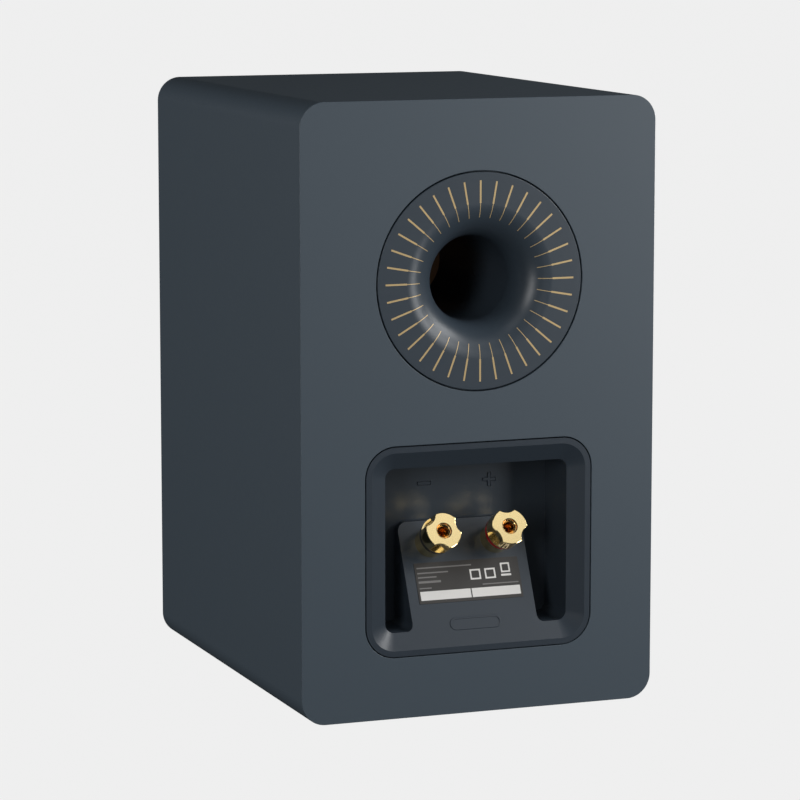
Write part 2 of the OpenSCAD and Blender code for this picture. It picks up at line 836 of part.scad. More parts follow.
module tweeter_surround() {
    color([0.07, 0.07, 0.07]) from_front(tweeter_z) rotate_extrude() {
        translate([dome_r + dome_land / 2, dome_at]) intersection() {
            difference() {
                circle(dome_land / 2);
                circle(dome_land / 2 - dome_t);
            }
            translate([-dome_land, -dome_land]) square([2 * dome_land, dome_land]);
        }
        translate([dome_r + dome_land - dome_t, dome_at]) square([4, dome_t]);
    }
}

module tweeter_coil() {
    color([0.72, 0.4, 0.2]) from_front(tweeter_z) translate([0, 0, dome_at + skin])
        tube(tweeter_former_r + tweeter_coil_t, tweeter_former_r, 5);
}

module tweeter_top_plate() {
    color([0.4, 0.4, 0.42]) from_front(tweeter_z) translate([0, 0, tweeter_plate_at])
        tube(tweeter_motor_r, tweeter_former_r + tweeter_coil_t + tweeter_gap, tweeter_iron_t);
}

module tweeter_magnet() {
    color([0.15, 0.15, 0.15]) from_front(tweeter_z)
        translate([0, 0, tweeter_plate_at + tweeter_iron_t])
        tube(tweeter_motor_r, tweeter_pole_r + 4, tweeter_magnet_t);
}

module tweeter_yoke() {
    back_at = tweeter_plate_at + tweeter_iron_t + tweeter_magnet_t;
    color([0.4, 0.4, 0.42]) from_front(tweeter_z) difference() {
        union() {
            translate([0, 0, back_at]) cylinder(r = tweeter_motor_r, h = tweeter_iron_t);
            translate([0, 0, tweeter_plate_at])
                cylinder(r = tweeter_pole_r, h = back_at - tweeter_plate_at + skin);
        }
        translate([0, 0, tweeter_plate_at - cut])
            cylinder(r = vent_r, h = tweeter_magnet_t + 2 * tweeter_iron_t + 2 * cut);
    }
}

module tweeter_chamber() {
    back_at = tweeter_plate_at + 2 * tweeter_iron_t + tweeter_magnet_t;
    color([0.15, 0.15, 0.16]) from_front(tweeter_z) translate([0, 0, back_at]) difference() {
        union() {
            cylinder(r = chamber_r, h = chamber_len);
            translate([0, -9, 1]) cube([chamber_r + 1, 18, chamber_len - 2]);
        }
        translate([0, 0, -cut]) cylinder(r = chamber_r - 2, h = chamber_len + cut - 2);
    }
}

module tweeter_terminals() {
    back_at = tweeter_plate_at + 2 * tweeter_iron_t + tweeter_magnet_t;
    color([0.5, 0.35, 0.2]) from_front(tweeter_z) translate([chamber_r + 1, 0, back_at]) {
        translate([0, -8, strip_t]) cube([strip_t, 16, chamber_len - 2 * strip_t]);
        for (side = [-1, 1]) translate([strip_t, side * 4 - tab_w / 2, 3])
            cube([tab_t, tab_w, chamber_len]);
    }
}

module tweeter_screws() {
    color([0.2, 0.2, 0.2]) from_front(tweeter_z) ring_of(4, tweeter_screw_r, 45) screw(screw_len);
}

// ---------------------------------------------------------------- crossover

// Children at the four fixing holes of the board
module board_corners(z) {
    for (x = [-1, 1], y = [-1, 1])
        translate([x * (board_w / 2 - board_hole_inset),
                   board_mid_y + y * (board_d / 2 - board_hole_inset), z])
            children();
}

module crossover_board() {
    color([0.5, 0.4, 0.2]) difference() {
        translate([-board_w / 2, board_mid_y - board_d / 2, board_z]) cube([board_w, board_d, board_t]);
        board_corners(board_z - cut) cylinder(r = screw_r, h = board_t + 2 * cut);
    }
}

module board_standoffs() {
    color([0.8, 0.8, 0.78]) board_corners(floor_z) tube(standoff_r, screw_r, standoff_h);
}

module board_screws() {
    shank = standoff_h + board_t - tip_gap;
    color([0.75, 0.75, 0.75]) board_corners(floor_z + tip_gap) {
        cylinder(r = screw_r, h = shank);
        translate([0, 0, shank]) difference() {
            cylinder(r = screw_head_r, h = screw_head_t);
            translate([0, 0, screw_head_t - recess_deep]) cross_recess(cut + recess_deep);
        }
    }
}

// The two inductors: [x, y, radius, height]
inductors = [[-25, 14, 15, 20], [27, -11, 12, 15]];
bobbin_core_r = 6;
bobbin_flange_t = 1.5;

module inductor_bobbins() {
    color([0.1, 0.1, 0.1]) for (coil = inductors) translate([coil[0], coil[1], board_top]) difference() {
        union() {
            cylinder(r = coil[2], h = bobbin_flange_t);
            cylinder(r = bobbin_core_r, h = coil[3]);
            translate([0, 0, coil[3] - bobbin_flange_t]) cylinder(r = coil[2], h = bobbin_flange_t);
        }
        translate([0, 0, -cut]) cylinder(r = 2.5, h = coil[3] + 2 * cut);
    }
}

module inductor_windings() {
    color([0.72, 0.4, 0.2]) for (coil = inductors)
        translate([coil[0], coil[1], board_top + bobbin_flange_t])
            tube(coil[2] - 1, bobbin_core_r, coil[3] - 2 * bobbin_flange_t);
}

// The two capacitors, lying across the board: [x, y, radius, length]
capacitors = [[21, 36, 7.5, 30], [-22, -17, 6.5, 28]];

module film_capacitors() {
    color([0.75, 0.6, 0.15]) for (cap = capacitors)
        translate([cap[0], cap[1], board_top + cap[2]]) rotate([0, 90, 0])
            cylinder(r = cap[2], h = cap[3], center = true);
}

// The two ceramic resistors: [x, y]
resistors = [[21, 9.5], [21, 20.5]];

module ceramic_resistors() {
    color([0.85, 0.84, 0.8]) for (place = resistors)
        translate([place[0] - 11, place[1] - 4, board_top]) cube([22, 8, 8]);
}

// ---------------------------------------------------------------- wires and felt

module input_wires() {
    color([0.6, 0.1, 0.1]) wire_pair(input_route, input_spread);
}

module woofer_wires() {
    color([0.1, 0.1, 0.1]) wire_pair(woofer_route, woofer_spread);
}

module tweeter_wires() {
    color([0.1, 0.2, 0.5]) wire_pair(tweeter_route, tweeter_spread);
}

module side_felt() {
    color([0.85, 0.85, 0.8]) translate([inside_w / 2 - felt_t, -20, 60]) cube([felt_t, 85, 150]);
}

module top_felt() {
    color([0.85, 0.85, 0.8]) translate([-45, -40, cab_h - wall_t - felt_t]) cube([90, 100, felt_t]);
}

cabinet_shell();
front_baffle();
rear_panel();
port_tube();
port_rays();
port_gasket();
terminal_cup();
terminal_gasket();
rating_label();
post_studs();
post_collars();
post_washers();
solder_tags();
post_nuts();
ring_negative();
ring_positive();
knob_negative();
knob_positive();
woofer_basket();
woofer_gasket();
woofer_surround();
woofer_cone();
woofer_dust_cap();
woofer_former();
woofer_coil();
woofer_spider();
woofer_top_plate();
woofer_magnet();
woofer_yoke();
woofer_terminals();
woofer_screws();
tweeter_faceplate();
tweeter_gasket();
tweeter_dome();
tweeter_surround();
tweeter_coil();
tweeter_top_plate();
tweeter_magnet();
tweeter_yoke();
tweeter_chamber();
tweeter_terminals();
tweeter_screws();
crossover_board();
board_standoffs();
board_screws();
inductor_bobbins();
inductor_windings();
film_capacitors();
ceramic_resistors();
input_wires();
woofer_wires();
tweeter_wires();
side_felt();
top_felt();
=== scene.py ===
"""Two-way bookshelf loudspeaker: its looks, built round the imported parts.

Sizes in the classes below are millimetres, and angles are degrees, in the cabinet's own frame:
+X right seen from the front, +Y to the rear, +Z up, origin under the middle of the cabinet.
They turn into metres in Place.point, the one way from a drawing to a mesh.
"""

import json
import logging
import math
from dataclasses import dataclass, field
from enum import Enum
from typing import ClassVar, Iterable, Optional, Sequence

import bmesh
import bpy
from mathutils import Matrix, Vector


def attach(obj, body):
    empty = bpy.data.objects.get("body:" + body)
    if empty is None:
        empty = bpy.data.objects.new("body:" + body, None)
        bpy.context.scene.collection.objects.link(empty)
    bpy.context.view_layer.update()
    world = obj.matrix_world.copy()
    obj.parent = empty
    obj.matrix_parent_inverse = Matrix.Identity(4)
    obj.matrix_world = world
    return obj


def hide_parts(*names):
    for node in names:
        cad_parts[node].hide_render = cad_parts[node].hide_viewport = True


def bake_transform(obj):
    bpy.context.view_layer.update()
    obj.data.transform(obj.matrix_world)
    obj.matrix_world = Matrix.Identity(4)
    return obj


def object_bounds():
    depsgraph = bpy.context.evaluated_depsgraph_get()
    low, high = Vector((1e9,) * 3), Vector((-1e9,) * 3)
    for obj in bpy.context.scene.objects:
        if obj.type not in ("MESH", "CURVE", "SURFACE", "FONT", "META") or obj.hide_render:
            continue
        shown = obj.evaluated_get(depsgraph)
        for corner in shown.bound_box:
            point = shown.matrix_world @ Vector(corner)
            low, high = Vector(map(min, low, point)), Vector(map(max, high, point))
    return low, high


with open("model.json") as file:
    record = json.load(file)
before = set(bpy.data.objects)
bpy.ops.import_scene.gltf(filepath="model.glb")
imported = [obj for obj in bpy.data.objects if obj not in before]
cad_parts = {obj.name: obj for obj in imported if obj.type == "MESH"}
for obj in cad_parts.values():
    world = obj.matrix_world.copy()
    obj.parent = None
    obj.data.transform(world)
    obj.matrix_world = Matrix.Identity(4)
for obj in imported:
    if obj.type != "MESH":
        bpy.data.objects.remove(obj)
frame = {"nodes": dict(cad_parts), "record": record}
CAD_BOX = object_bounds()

LOG = logging.getLogger("loudspeaker")
MM = 0.001
CREASE = 35.0

Colour = tuple[float, float, float]
Point2 = tuple[float, float]
Corner = tuple[float, float, float]
Ring = list[Vector]
Socket = bpy.types.NodeSocket
Thing = bpy.types.Object


# ------------------------------------------------------------------ places and outlines


@dataclass(frozen=True)
class Place:
    """A right-handed working frame on the object, with its third axis out of the surface.

    Attributes:
        origin: where it sits, in millimetres.
        right: its first axis.
        up: its second axis.
        out: its third axis, away from the material.
    """

    origin: Vector
    right: Vector
    up: Vector
    out: Vector

    def point(self, x: float, y: float, z: float) -> Vector:
        """A drawn point in millimetres as a point of the row frame in metres."""
        return (self.origin + x * self.right + y * self.up + z * self.out) * MM

    def moved(self, x: float = 0.0, y: float = 0.0, z: float = 0.0) -> "Place":
        """The same axes at another origin, given along those axes."""
        origin = self.origin + x * self.right + y * self.up + z * self.out
        return Place(origin, self.right, self.up, self.out)


def rear_place(rear_y: float, height: float) -> Place:
    """A place on the rear face, drawn as it is seen from behind.

    Args:
        rear_y: the rear face, millimetres from the middle.
        height: the place's height above the base.

    Returns:
        The place, with +x to the right of someone who looks at the rear face.
    """
    return Place(Vector((0, rear_y, height)), Vector((-1, 0, 0)), Vector((0, 0, 1)), Vector((0, 1, 0)))


def front_place(front_y: float, height: float) -> Place:
    """A place on the baffle face, drawn as it is seen from the front.

    Args:
        front_y: the baffle face, millimetres from the middle.
        height: the place's height above the base.

    Returns:
        The place, with its third axis towards the listener.
    """
    return Place(Vector((0, front_y, height)), Vector((1, 0, 0)), Vector((0, 0, 1)), Vector((0, -1, 0)))


def soften(corners: Sequence[Corner], steps: int = 5, closed: bool = False) -> list[Point2]:
    """Rounds the corners of an outline with true arcs.

    Args:
        corners: x, y and radius of each corner, in order; radius 0 keeps it sharp.
        steps: flats in each arc.
        closed: whether the last corner joins the first.

    Returns:
        The outline's points, in the same order.
    """
    points: list[Point2] = []
    count = len(corners)
    for i, (x, y, radius) in enumerate(corners):
        here = Vector((x, y))
        if radius <= 0 or (not closed and i in (0, count - 1)):
            points.append((x, y))
            continue
        back = (Vector(corners[i - 1][:2]) - here).normalized()
        ahead = (Vector(corners[(i + 1) % count][:2]) - here).normalized()
        half = back.angle(ahead) / 2
        middle = here + (back + ahead).normalized() * radius / math.sin(half)
        first = here + back * radius / math.tan(half) - middle
        last = here + ahead * radius / math.tan(half) - middle
        start = math.atan2(first.y, first.x)
        sweep = (math.atan2(last.y, last.x) - start + math.pi) % math.tau - math.pi
        for k in range(steps + 1):
            angle = start + sweep * k / steps
            points.append((middle.x + radius * math.cos(angle), middle.y + radius * math.sin(angle)))
    return points


def rounded_rect(width: float, height: float, radius: float, steps: int = 12) -> list[Point2]:
    """The outline of a rounded rectangle about the origin, anticlockwise.

    Args:
        width: full width.
        height: full height.
        radius: corner radius.
        steps: flats in each corner.

    Returns:
        The outline's points.
    """
    x, y = width / 2, height / 2
    return soften([(x, -y, radius), (x, y, radius), (-x, y, radius), (-x, -y, radius)], steps, True)


def circle(radius: float, count: int, start: float = 0.0) -> list[Point2]:
    """Points on a circle about the origin.

    Args:
        radius: the circle's radius.
        count: number of points.
        start: angle of the first point, in degrees.

    Returns:
        The points, anticlockwise.
    """
    turns = (math.radians(start) + math.tau * k / count for k in range(count))
    return [(radius * math.cos(a), radius * math.sin(a)) for a in turns]


# ------------------------------------------------------------------ meshes


def new_piece(name: str, points: Sequence[Vector], faces: Sequence[Sequence[int]]) -> Thing:
    """Makes a mesh object in the scene, with its faces turned outwards.

    Args:
        name: the piece's name.
        points: its vertices in metres.
        faces: vertex numbers of each face.

    Returns:
        The object.
    """
    mesh = bpy.data.meshes.new(name)
    mesh.from_pydata([tuple(p) for p in points], [], [tuple(f) for f in faces])
    made = bmesh.new()
    made.from_mesh(mesh)
    bmesh.ops.recalc_face_normals(made, faces=made.faces)
    made.to_mesh(mesh)
    made.free()
    piece = bpy.data.objects.new(name, mesh)
    bpy.context.scene.collection.objects.link(piece)
    return piece


def loft(name: str, rings: Sequence[Ring], caps: bool = False, closed: bool = False) -> Thing:
    """Joins rings of points into one skin.

    Args:
        name: the piece's name.
        rings: rings with the same number of points, or a single point for a pole.
        caps: whether flat faces close the first and last ring.
        closed: whether the last ring joins the first.

    Returns:
        The object.
    """
    points: list[Vector] = []
    starts: list[int] = []
    for ring in rings:
        starts.append(len(points))
        points.extend(ring)
    faces: list[Sequence[int]] = []
    last = len(rings)
    for i in range(last if closed else last - 1):
        j = (i + 1) % last
        a, b = starts[i], starts[j]
        count = max(len(rings[i]), len(rings[j]))
        for k in range(count):
            m = (k + 1) % count
            if len(rings[i]) == 1:
                faces.append((a, b + m, b + k))
            elif len(rings[j]) == 1:
                faces.append((a + k, a + m, b))
            else:
                faces.append((a + k, a + m, b + m, b + k))
    if caps:
        faces.append(tuple(range(len(rings[0])))[::-1])
        faces.append(tuple(range(starts[-1], starts[-1] + len(rings[-1]))))
    return new_piece(name, points, faces)


def turned(place: Place, section: Sequence[Point2], count: int) -> list[Ring]:
    """The rings of a section turned about a place's third axis, with a single point for a pole."""
    flat = [(circle(radius, count) if radius > 1e-6 else [(0.0, 0.0)], height) for radius, height in section]
    return [[place.point(x, y, height) for x, y in ring] for ring, height in flat]


def lathe(name: str, place: Place, section: Sequence[Point2], count: int = 128, closed: bool = False) -> Thing:
    """Turns a section about a place's third axis.

    Args:
        name: the piece's name.
        place: the axis of the turning.
        section: radius and height of each point; radius 0 makes a pole.
        count: flats round the axis.
        closed: whether the section is a closed outline.

    Returns:
        The object.
    """
    return loft(name, turned(place, section, count), closed=closed)


def prism(name: str, place: Place, outline: Sequence[Point2], low: float, high: float) -> Thing:
    """Extrudes an outline along a place's third axis.

    Args:
        name: the piece's name.
        place: where the outline is drawn.
        outline: its points.
        low: height of one end.
        high: height of the other end.

    Returns:
        The object.
    """
    return loft(name, [[place.point(x, y, z) for x, y in outline] for z in (low, high)], caps=True)


def plate(name: str, place: Place, size: Corner, low: float, high: float, edge: float = 0.1) -> Thing:
    """A thin rounded rectangle with a broken upper edge.

    Args:
        name: the piece's name.
        place: its middle.
        size: width, height and corner radius.
        low: height of its underside.
        high: height of its face.
        edge: how far the upper edge is broken.

    Returns:
        The object.
    """
    width, height, radius = size
    rings = []
    for inset, z in ((0, low), (0, high - edge), (edge, high)):
        outline = rounded_rect(width - 2 * inset, height - 2 * inset, max(radius - inset, 0.05), 6)
        rings.append([place.point(x, y, z) for x, y in outline])
    return loft(name, rings, caps=True)


def merge(name: str, pieces: Iterable[Thing]) -> Thing:
    """Joins several meshes into one piece.

    Args:
        name: the new piece's name.
        pieces: the meshes, which are used up.

    Returns:
        The joined piece.
    """
    points: list[Vector] = []
    faces: list[list[int]] = []
    for piece in pieces:
        base = len(points)
        points.extend(v.co.copy() for v in piece.data.vertices)
        faces.extend([base + i for i in face.vertices] for face in piece.data.polygons)
        bpy.data.objects.remove(piece)
    return new_piece(name, points, faces)


class Cut(Enum):
    """The ways one solid works on another."""

    AWAY = "DIFFERENCE"
    WITH = "UNION"
    SHARED = "INTERSECT"


def carve(body: Thing, tool: Thing, cut: Cut = Cut.AWAY) -> Thing:
    """Works a body with a tool, which is used up.

    Args:
        body: the solid that stays.
        tool: the solid that cuts or joins it.
        cut: what the tool does.

    Returns:
        The body.
    """
    step = body.modifiers.new("carve", "BOOLEAN")
    step.operation, step.solver, step.object = cut.value, "EXACT", tool
    graph = bpy.context.evaluated_depsgraph_get()
    worked = bpy.data.meshes.new_from_object(body.evaluated_get(graph))
    body.modifiers.remove(step)
    body.data = worked
    worked.name = body.name
    bpy.data.objects.remove(tool)
    return body


def break_edges(piece: Thing, width: float, segments: int = 3, angle: float = 30.0) -> Thing:
    """Rounds every sharp edge of a piece.

    Args:
        piece: the piece.
        width: how far the rounding reaches, in millimetres.
        segments: flats in the rounding.
        angle: the least angle between faces that counts as sharp.

    Returns:
        The piece.
    """
    step = piece.modifiers.new("broken_edges", "BEVEL")
    step.width, step.segments = width * MM, segments
    step.limit_method, step.angle_limit = "ANGLE", math.radians(angle)
    step.use_clamp_overlap = True
    step.miter_outer = "MITER_ARC"
    return piece


def smooth(piece: Thing, crease: float = CREASE) -> Thing:
    """Shades a piece smooth, keeps its creases and holds its flats flat.

    Args:
        piece: the piece.
        crease: edges sharper than this many degrees stay crisp.

    Returns:
        The piece.
    """
    piece.data.shade_smooth()
    piece.data.set_sharp_from_angle(angle=math.radians(crease))
    even = piece.modifiers.new("even_shading", "WEIGHTED_NORMAL")
    even.keep_sharp = True
    return piece


# ------------------------------------------------------------------ finishes


class Texture(Enum):
    """The structures a surface can show."""

    GRAIN = "fine round grain"
    FIBRE = "matted fibres"
    WEAVE = "crossing threads"
    WOUND = "layers of wire"
    TURNED = "faint marks of the lathe"


class Bench:
    """A new material's node tree, with short ways to add nodes and join them."""

    def __init__(self, name: str) -> None:
        """Starts a material with a shader and an output.

        Args:
            name: the material's name.
        """
        self.material = bpy.data.materials.new(name)
        self.material.use_nodes = True
        self.tree = self.material.node_tree
        self.tree.nodes.clear()
        self.shader = self.tree.nodes.new("ShaderNodeBsdfPrincipled")
        output = self.tree.nodes.new("ShaderNodeOutputMaterial")
        self.tree.links.new(self.shader.outputs["BSDF"], output.inputs["Surface"])
        self.where = self.tree.nodes.new("ShaderNodeTexCoord").outputs["Object"]

    def add(self, kind: str, source: Socket, target: str = "Vector", **values: float) -> bpy.types.Node:
        """Adds a node, joins one source to it and sets its plain inputs.

        Args:
            kind: the node's type.
            source: a socket to join to it.
            target: the input that the source joins.
            **values: input names, with _ for a space, and their values.

        Returns:
            The node.
        """
        node = self.tree.nodes.new(kind)
        self.tree.links.new(source, node.inputs[target])
        for key, value in values.items():
            node.inputs[key.replace("_", " ")].default_value = value
        return node

    def stretched(self, scale: Corner) -> Socket:
        """Object coordinates stretched by a scale on each axis."""
        node = self.add("ShaderNodeMapping", self.where)
        node.inputs["Scale"].default_value = scale
        return node.outputs["Vector"]

    def noise(self, scale: float, detail: float = 3.0, vector: Optional[Socket] = None) -> Socket:
        """A noise field.

        Args:
            scale: grains in a metre.
            detail: octaves.
            vector: coordinates, or the object's own.

        Returns:
            The noise as a factor.
        """
        return self.add("ShaderNodeTexNoise", vector or self.where, Scale=scale, Detail=detail).outputs[0]

    def bands(self, scale: float, direction: str, distortion: float = 0.0) -> Socket:
        """Parallel bands.

        Args:
            scale: bands in a metre.
            direction: the axis they follow each other along.
            distortion: how wavy they are.

        Returns:
            The bands as a factor.
        """
        node = self.add("ShaderNodeTexWave", self.where, Scale=scale / 3.2, Distortion=distortion)
        node.bands_direction = direction
        return node.outputs["Fac"]

    def larger(self, one: Socket, other: Socket) -> Socket:
        """The larger of two factors."""
        node = self.add("ShaderNodeMath", one, "Value")
        node.operation = "MAXIMUM"
        self.tree.links.new(other, node.inputs[1])
        return node.outputs[0]

    def spread(self, factor: Socket, low: float, high: float) -> Socket:
        """A factor taken to a range of values."""
        node = self.add("ShaderNodeMapRange", factor, "Value", To_Min=low, To_Max=high)
        return node.outputs["Result"]

    def shades(self, factor: Socket, dark: Colour, light: Colour) -> Socket:
        """A factor taken to a range of colours."""
        node = self.tree.nodes.new("ShaderNodeMix")
        node.data_type = "RGBA"
        self.tree.links.new(factor, node.inputs[0])
        node.inputs[6].default_value = (*dark, 1.0)
        node.inputs[7].default_value = (*light, 1.0)
        return node.outputs[2]

    def relief(self, height: Socket, depth: float) -> Socket:
        """A height field, with its full height in millimetres, as a surface normal."""
        node = self.add("ShaderNodeBump", height, "Height", Strength=1.0, Distance=depth * MM)
        return node.outputs["Normal"]

    def to_shader(self, source: Socket, target: str) -> None:
        """Joins a socket to an input of the shader."""
        self.tree.links.new(source, self.shader.inputs[target])

    def set_plain(self, values: dict[str, float | tuple[float, ...]]) -> None:
        """Sets inputs of the shader to uniform values."""
        for name, value in values.items():
            self.shader.inputs[name].default_value = value


@dataclass(frozen=True)
class Finish:
    """A procedural surface.

    Attributes:
        name: the finish's name.
        slot: the record's material slot that it belongs to, or nothing.
        colour: its mean colour, linear.
        rough: its mean roughness.
        metal: 1 for bare metal.
        texture: the structure that it shows.
        scale: features of that structure in a metre.
        stray: how far the colour strays from its mean, as a share of it.
        gloss_stray: how far the roughness strays.
        depth: height of the structure in millimetres.
        coat: weight of a clear coat.
        sheen: weight of a fabric's sheen.
        glow: strength of painted light, an emission in the surface's own colour standing in for bounced light.
    """

    name: str
    slot: str
    colour: Colour
    rough: float
    metal: float = 0.0
    texture: Texture = Texture.GRAIN
    scale: float = 2500.0
    stray: float = 0.08
    gloss_stray: float = 0.04
    depth: float = 0.004
    coat: float = 0.0
    sheen: float = 0.0
    glow: float = 0.0
    made: ClassVar[dict[str, bpy.types.Material]] = {}

    def material(self) -> bpy.types.Material:
        """The Blender material, made once.

        Returns:
            The material.
        """
        if self.name in self.made:
            return self.made[self.name]
        bench = Bench(self.name)
        grain = self.structure(bench)
        dark = tuple(c * (1 - self.stray) for c in self.colour)
        light = tuple(min(1.0, c * (1 + self.stray)) for c in self.colour)
        bench.to_shader(bench.shades(grain, dark, light), "Base Color")
        cloud = bench.noise(self.scale / 8, 2.0)
        low, high = max(0.02, self.rough - self.gloss_stray), min(1.0, self.rough + self.gloss_stray)
        bench.to_shader(bench.spread(cloud, low, high), "Roughness")
        bench.to_shader(bench.relief(grain, self.depth), "Normal")
        bench.set_plain({
            "Metallic": self.metal,
            "Coat Weight": self.coat,
            "Coat Roughness": 0.08,
            "Sheen Weight": self.sheen,
            "Sheen Roughness": 0.4,
        })
        # Painted light: the surface glows in its own colour, standing in for light bounced too often to trace.
        if self.glow:
            bench.set_plain({"Emission Color": (*self.colour, 1.0), "Emission Strength": self.glow})
        self.made[self.name] = bench.material
        return bench.material

    def structure(self, bench: Bench) -> Socket:
        """The field that carries the texture.

        Args:
            bench: the material being made.

        Returns:
            The field, from 0 to 1.
        """
        if self.texture is Texture.FIBRE:
            one = bench.noise(self.scale, 4.0, bench.stretched((1.0, 0.25, 0.25)))
            other = bench.noise(self.scale, 4.0, bench.stretched((0.25, 0.3, 1.0)))
            return bench.larger(one, other)
        if self.texture is Texture.WEAVE:
            return bench.larger(bench.bands(self.scale, "X", 0.6), bench.bands(self.scale, "Z", 0.6))
        if self.texture is Texture.WOUND:
            return bench.bands(self.scale, "Y", 0.3)
        if self.texture is Texture.TURNED:
            return bench.noise(self.scale, 2.0, bench.stretched((1.0, 0.08, 1.0)))
        return bench.noise(self.scale, 3.0)


PAINT = Finish("slate_paint", "cabinet_paint", (0.060, 0.083, 0.106), 0.45, scale=3600, stray=0.05, depth=0.006)
# The raw fibreboard inside the box glows faintly: painted light for the bounce light in its hollows.
RAW_BOARD = Finish(
    "raw_fibreboard", "", (0.27, 0.17, 0.10), 0.85,
    texture=Texture.FIBRE, scale=900, stray=0.2, depth=0.05, glow=0.02,
)
PORT_PLASTIC = Finish(
    "satin_port_plastic", "port_plastic", (0.040, 0.055, 0.072), 0.345, scale=5200, stray=0.04, depth=0.002
)
CUP_PLASTIC = Finish(
    "satin_cup_plastic", "cup_plastic", (0.034, 0.046, 0.061), 0.32, scale=5200, stray=0.05, depth=0.003
)
GOLD_INLAY = Finish("gold_ray_foil", "ray_inlay", (0.60, 0.44, 0.215), 0.42, metal=0.25, scale=6000, depth=0.002)
LABEL_FILM = Finish("label_film", "label", (0.031, 0.029, 0.027), 0.5, scale=3000, stray=0.06, depth=0.002)
LABEL_INK = Finish("label_ink", "", (0.80, 0.79, 0.77), 0.55, scale=4000, stray=0.03, depth=0.001)
LABEL_FAINT = Finish("label_fine_print", "", (0.20, 0.195, 0.19), 0.6, scale=4000, stray=0.2, depth=0.001)
POST_GOLD = Finish(
    "polished_gold", "post_gold", (0.96, 0.76, 0.38), 0.13, metal=1.0,
    texture=Texture.TURNED, scale=4200, stray=0.02, gloss_stray=0.015, depth=0.00012,
)
# Partly painted reflection: the stud's gold is tinted towards copper to stand in for light bounced round inside
# the socket's funnel.
STUD_METAL_AND_BOUNCE_TINT = Finish(
    "stud_copper", "stud_metal", (0.95, 0.60, 0.24), 0.12, metal=1.0,
    texture=Texture.TURNED, scale=4200, stray=0.03, gloss_stray=0.02, depth=0.0002,
)
RED_RING = Finish(
    "red_gloss", "ring_red", (0.40, 0.012, 0.012), 0.24, scale=3000, stray=0.04, depth=0.001, coat=0.5
)
BLACK_RING = Finish(
    "black_gloss", "ring_black", (0.012, 0.012, 0.013), 0.12, scale=3000, stray=0.1, depth=0.001, coat=0.6
)
BLACK_PLASTIC = Finish("moulded_black", "black_plastic", (0.022, 0.023, 0.025), 0.42, scale=4200, depth=0.006)
PULP = Finish(
    "cone_pulp", "paper_cone", (0.030, 0.031, 0.034), 0.72,
    texture=Texture.FIBRE, scale=1500, stray=0.45, depth=0.05,
)
RUBBER = Finish("surround_rubber", "rubber_surround", (0.016, 0.016, 0.017), 0.5, scale=2600, stray=0.15)
SILK = Finish(
    "dome_silk", "silk_dome", (0.020, 0.020, 0.022), 0.5,
    texture=Texture.WEAVE, scale=2600, stray=0.3, depth=0.02, sheen=0.2,
)

FINISHES = (
    PAINT, PORT_PLASTIC, CUP_PLASTIC, GOLD_INLAY, LABEL_FILM, POST_GOLD, STUD_METAL_AND_BOUNCE_TINT,
    RED_RING, BLACK_RING, BLACK_PLASTIC, PULP, RUBBER, SILK,
    Finish("gasket_foam", "foam", (0.012, 0.012, 0.013), 0.95, scale=1500, stray=0.5, depth=0.15),
    Finish(
        "black_lacquered_steel", "black_metal", (0.020, 0.021, 0.023), 0.38, scale=3200, stray=0.1, depth=0.006
    ),
    Finish(
        "plated_steel", "steel", (0.56, 0.55, 0.52), 0.28, metal=1.0,
        texture=Texture.TURNED, scale=3000, depth=0.003,
    ),
    Finish("ferrite_magnet", "ferrite", (0.045, 0.045, 0.048), 0.7, scale=1800, stray=0.25, depth=0.02),
    Finish(
        "enamelled_copper", "copper", (0.62, 0.24, 0.09), 0.3, metal=0.8,
        texture=Texture.WOUND, scale=1400, stray=0.35, depth=0.12,
    ),
    Finish(
        "spider_cloth", "cloth_amber", (0.42, 0.24, 0.07), 0.8,
        texture=Texture.WEAVE, scale=1400, stray=0.4, depth=0.12,
    ),
    Finish("coil_former_film", "kapton", (0.48, 0.23, 0.05), 0.3, scale=2000, depth=0.002, coat=0.3),
    Finish(
        "phenolic_board", "circuit_board", (0.26, 0.17, 0.07), 0.6,
        texture=Texture.FIBRE, scale=1100, stray=0.15, depth=0.01,
    ),
    Finish("glazed_ceramic", "white_ceramic", (0.66, 0.64, 0.58), 0.7, scale=2200, stray=0.06, depth=0.02),
    Finish("capacitor_film", "film_yellow", (0.66, 0.42, 0.04), 0.3, scale=1500, depth=0.003, coat=0.3),
    Finish("red_wire", "wire_red", (0.40, 0.02, 0.015), 0.36, scale=2600, stray=0.06),
    Finish("black_wire", "wire_black", (0.018, 0.018, 0.018), 0.36, scale=2600, stray=0.1),
    Finish("blue_wire", "wire_blue", (0.02, 0.06, 0.26), 0.36, scale=2600, stray=0.06),
    Finish(
        "damping_felt", "felt", (0.62, 0.60, 0.54), 0.95,
        texture=Texture.FIBRE, scale=700, stray=0.15, depth=0.5, sheen=0.3,
    ),
)


def dress(piece: Thing, finish: Finish, body: str, *stands_for: str) -> None:
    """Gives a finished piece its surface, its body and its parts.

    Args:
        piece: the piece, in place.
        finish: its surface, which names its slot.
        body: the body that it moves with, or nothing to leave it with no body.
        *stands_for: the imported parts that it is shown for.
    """
    if not piece.data.materials:
        piece.data.materials.append(finish.material())
    if body:
        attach(piece, body)
    if stands_for:
        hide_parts(*stands_for)
    count = len(piece.data.polygons)
    LOG.info("%s: %d faces, %s, on %s", piece.name, count, finish.name, body or "two bodies")


def dress_packed_parts() -> None:
    """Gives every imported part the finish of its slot."""
    by_slot = {finish.slot: finish for finish in FINISHES}
    slots = {row["node"]: row["material_slot"] for row in frame["record"]["subparts"]}
    for name, part in frame["nodes"].items():
        part.data.materials.clear()
        part.data.materials.append(by_slot[slots[name]].material())
        part.data.shade_smooth()
        part.data.set_sharp_from_angle(angle=math.radians(CREASE))
    LOG.info("%d packed parts have their finishes", len(frame["nodes"]))


